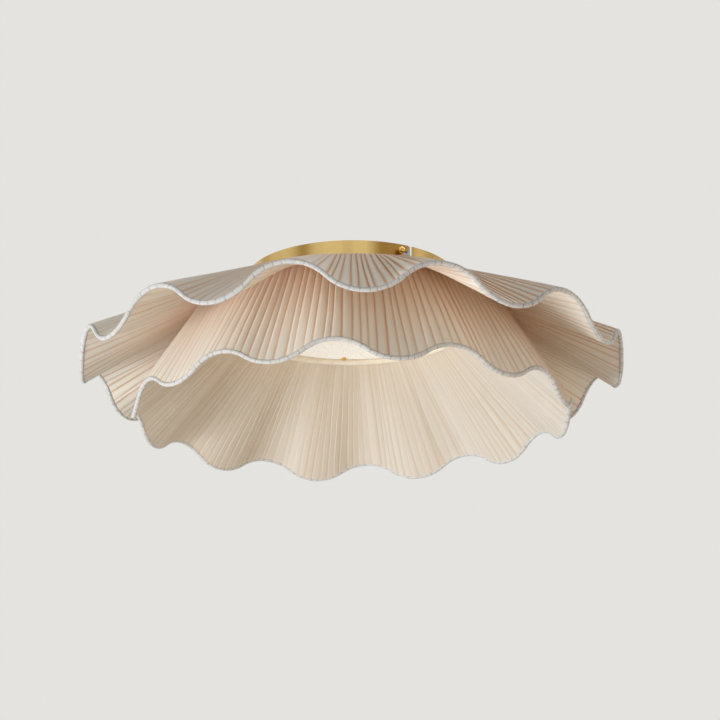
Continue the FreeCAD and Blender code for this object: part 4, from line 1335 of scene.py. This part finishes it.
@dataclass(frozen=True)
class Studio:
    """Camera below the light looking up, a pale floor and background, and soft light.

    The camera's place, angles and lens are the ones at which the canopy and both rims lie as
    they do in the photograph.
    """

    camera_place: tuple[float, float, float] = (0.0045, -2.2082, -0.8170)
    pitch: float = 18.0
    yaw: float = 0.12
    roll: float = -0.38
    lens: float = 103.3
    sensor: float = 36.0
    floor_z: float = -3.4
    floor_side: float = 14.0
    fill_below: float = 0.74
    fill_above: float = 0.32
    fill_span: tuple[float, float] = (-0.2, 0.4)  # rises of a view between which the fill changes
    aim: tuple[float, float, float] = (0.0, 0.0, -0.09)

    def lamps(self) -> list[Lamp]:
        """List a key from below on the left, a soft fill on the right, and lights above and behind.

        Returns:
            The four lights.
        """
        return [
            Lamp("key_light", power=82.0, side=1.2, place=(-2.3, -1.25, -1.4), colour="#F7FAFF"),
            Lamp("fill_light", power=22.0, side=1.8, place=(2.1, -1.0, -1.5), colour="#FFE3C2"),
            Lamp("top_light", power=8.0, side=1.6, place=(-0.8, -0.9, 2.4)),
            Lamp("back_light", power=44.0, side=1.8, place=(0.9, 2.1, 1.7)),
        ]

    def build(self) -> None:
        """Set up the camera, the floor, the lights and the world."""
        self.add_camera()
        self.add_floor()
        for lamp in self.lamps():
            self.add_lamp(lamp)
        self.set_world()

    def add_camera(self) -> None:
        """Place the camera by its pitch, yaw and roll."""
        pitch, yaw, roll = (math.radians(a) for a in (self.pitch, self.yaw, self.roll))
        level = math.cos(pitch)
        ahead = Vector((math.sin(yaw) * level, math.cos(yaw) * level, math.sin(pitch)))
        right = ahead.cross(Vector((0.0, 0.0, 1.0))).normalized()
        up = right.cross(ahead)
        upright = Matrix((right, up, -ahead)).transposed()
        turned = upright @ Matrix.Rotation(roll, 3, "Z")
        data = bpy.data.cameras.new("camera")
        data.lens, data.sensor_width = self.lens, self.sensor
        camera = bpy.data.objects.new("camera", data)
        camera.matrix_world = Matrix.Translation(self.camera_place) @ turned.to_4x4()
        bpy.context.scene.collection.objects.link(camera)
        bpy.context.scene.camera = camera

    def add_floor(self) -> None:
        """Lay a plain pale floor far below the light."""
        bpy.ops.object.select_all(action="DESELECT")
        bpy.ops.mesh.primitive_plane_add(size=self.floor_side, location=(0.0, 0.0, self.floor_z))
        floor = bpy.context.object
        floor.name = "floor"
        FLOOR_PAINT.dress(floor)

    def add_lamp(self, lamp: Lamp) -> None:
        """Hang a square area light and aim it at the middle of the shade.

        Args:
            lamp: The light's power, size, colour and place.
        """
        data = bpy.data.lights.new(lamp.name, "AREA")
        data.shape, data.size, data.energy = "SQUARE", lamp.side, lamp.power
        data.color = linear(lamp.colour)[:3]
        light = bpy.data.objects.new(lamp.name, data)
        light.location = lamp.place
        aim = Vector(self.aim) - Vector(lamp.place)
        light.rotation_euler = aim.to_track_quat("-Z", "Y").to_euler()
        bpy.context.scene.collection.objects.link(light)

    def set_world(self) -> None:
        """Fill with light, weaker from above, and show the camera a pale background."""
        world = bpy.data.worlds.new("studio_world")
        world.use_nodes = True
        tree = world.node_tree
        tree.nodes.clear()
        direction = add_node(tree, "ShaderNodeSeparateXYZ", inputs={
            0: add_node(tree, "ShaderNodeTexCoord").outputs["Generated"]})
        low, high = self.fill_span
        strength = add_node(tree, "ShaderNodeMapRange", inputs={
            "Value": direction.outputs["Z"], "From Min": low, "From Max": high,
            "To Min": self.fill_below, "To Max": self.fill_above})
        fill = add_node(tree, "ShaderNodeBackground", inputs={
            "Color": linear(WHITE), "Strength": strength.outputs[0]})
        pale = add_node(tree, "ShaderNodeBackground", inputs={
            "Color": linear(BACKGROUND), "Strength": 1.0})
        both = add_node(tree, "ShaderNodeMixShader", inputs={
            0: looked_at(tree), 1: fill.outputs[0], 2: pale.outputs[0]})
        add_node(tree, "ShaderNodeOutputWorld", inputs={"Surface": both.outputs[0]})
        bpy.context.scene.world = world
        bpy.context.scene.view_settings.view_transform = "Standard"


def report(piece: bpy.types.Object) -> None:
    """Log a finished piece's name and how many faces it has."""
    LOG.info("%s: %d faces", piece.name, len(piece.data.polygons))


def main() -> None:
    """Build every sub-assembly in order, then the studio."""
    logging.basicConfig(level=logging.INFO, format="%(message)s")
    Fittings().build()
    report(Canopy().build())
    Shade().build()
    Studio().build()


if __name__ == "__main__":
    main()
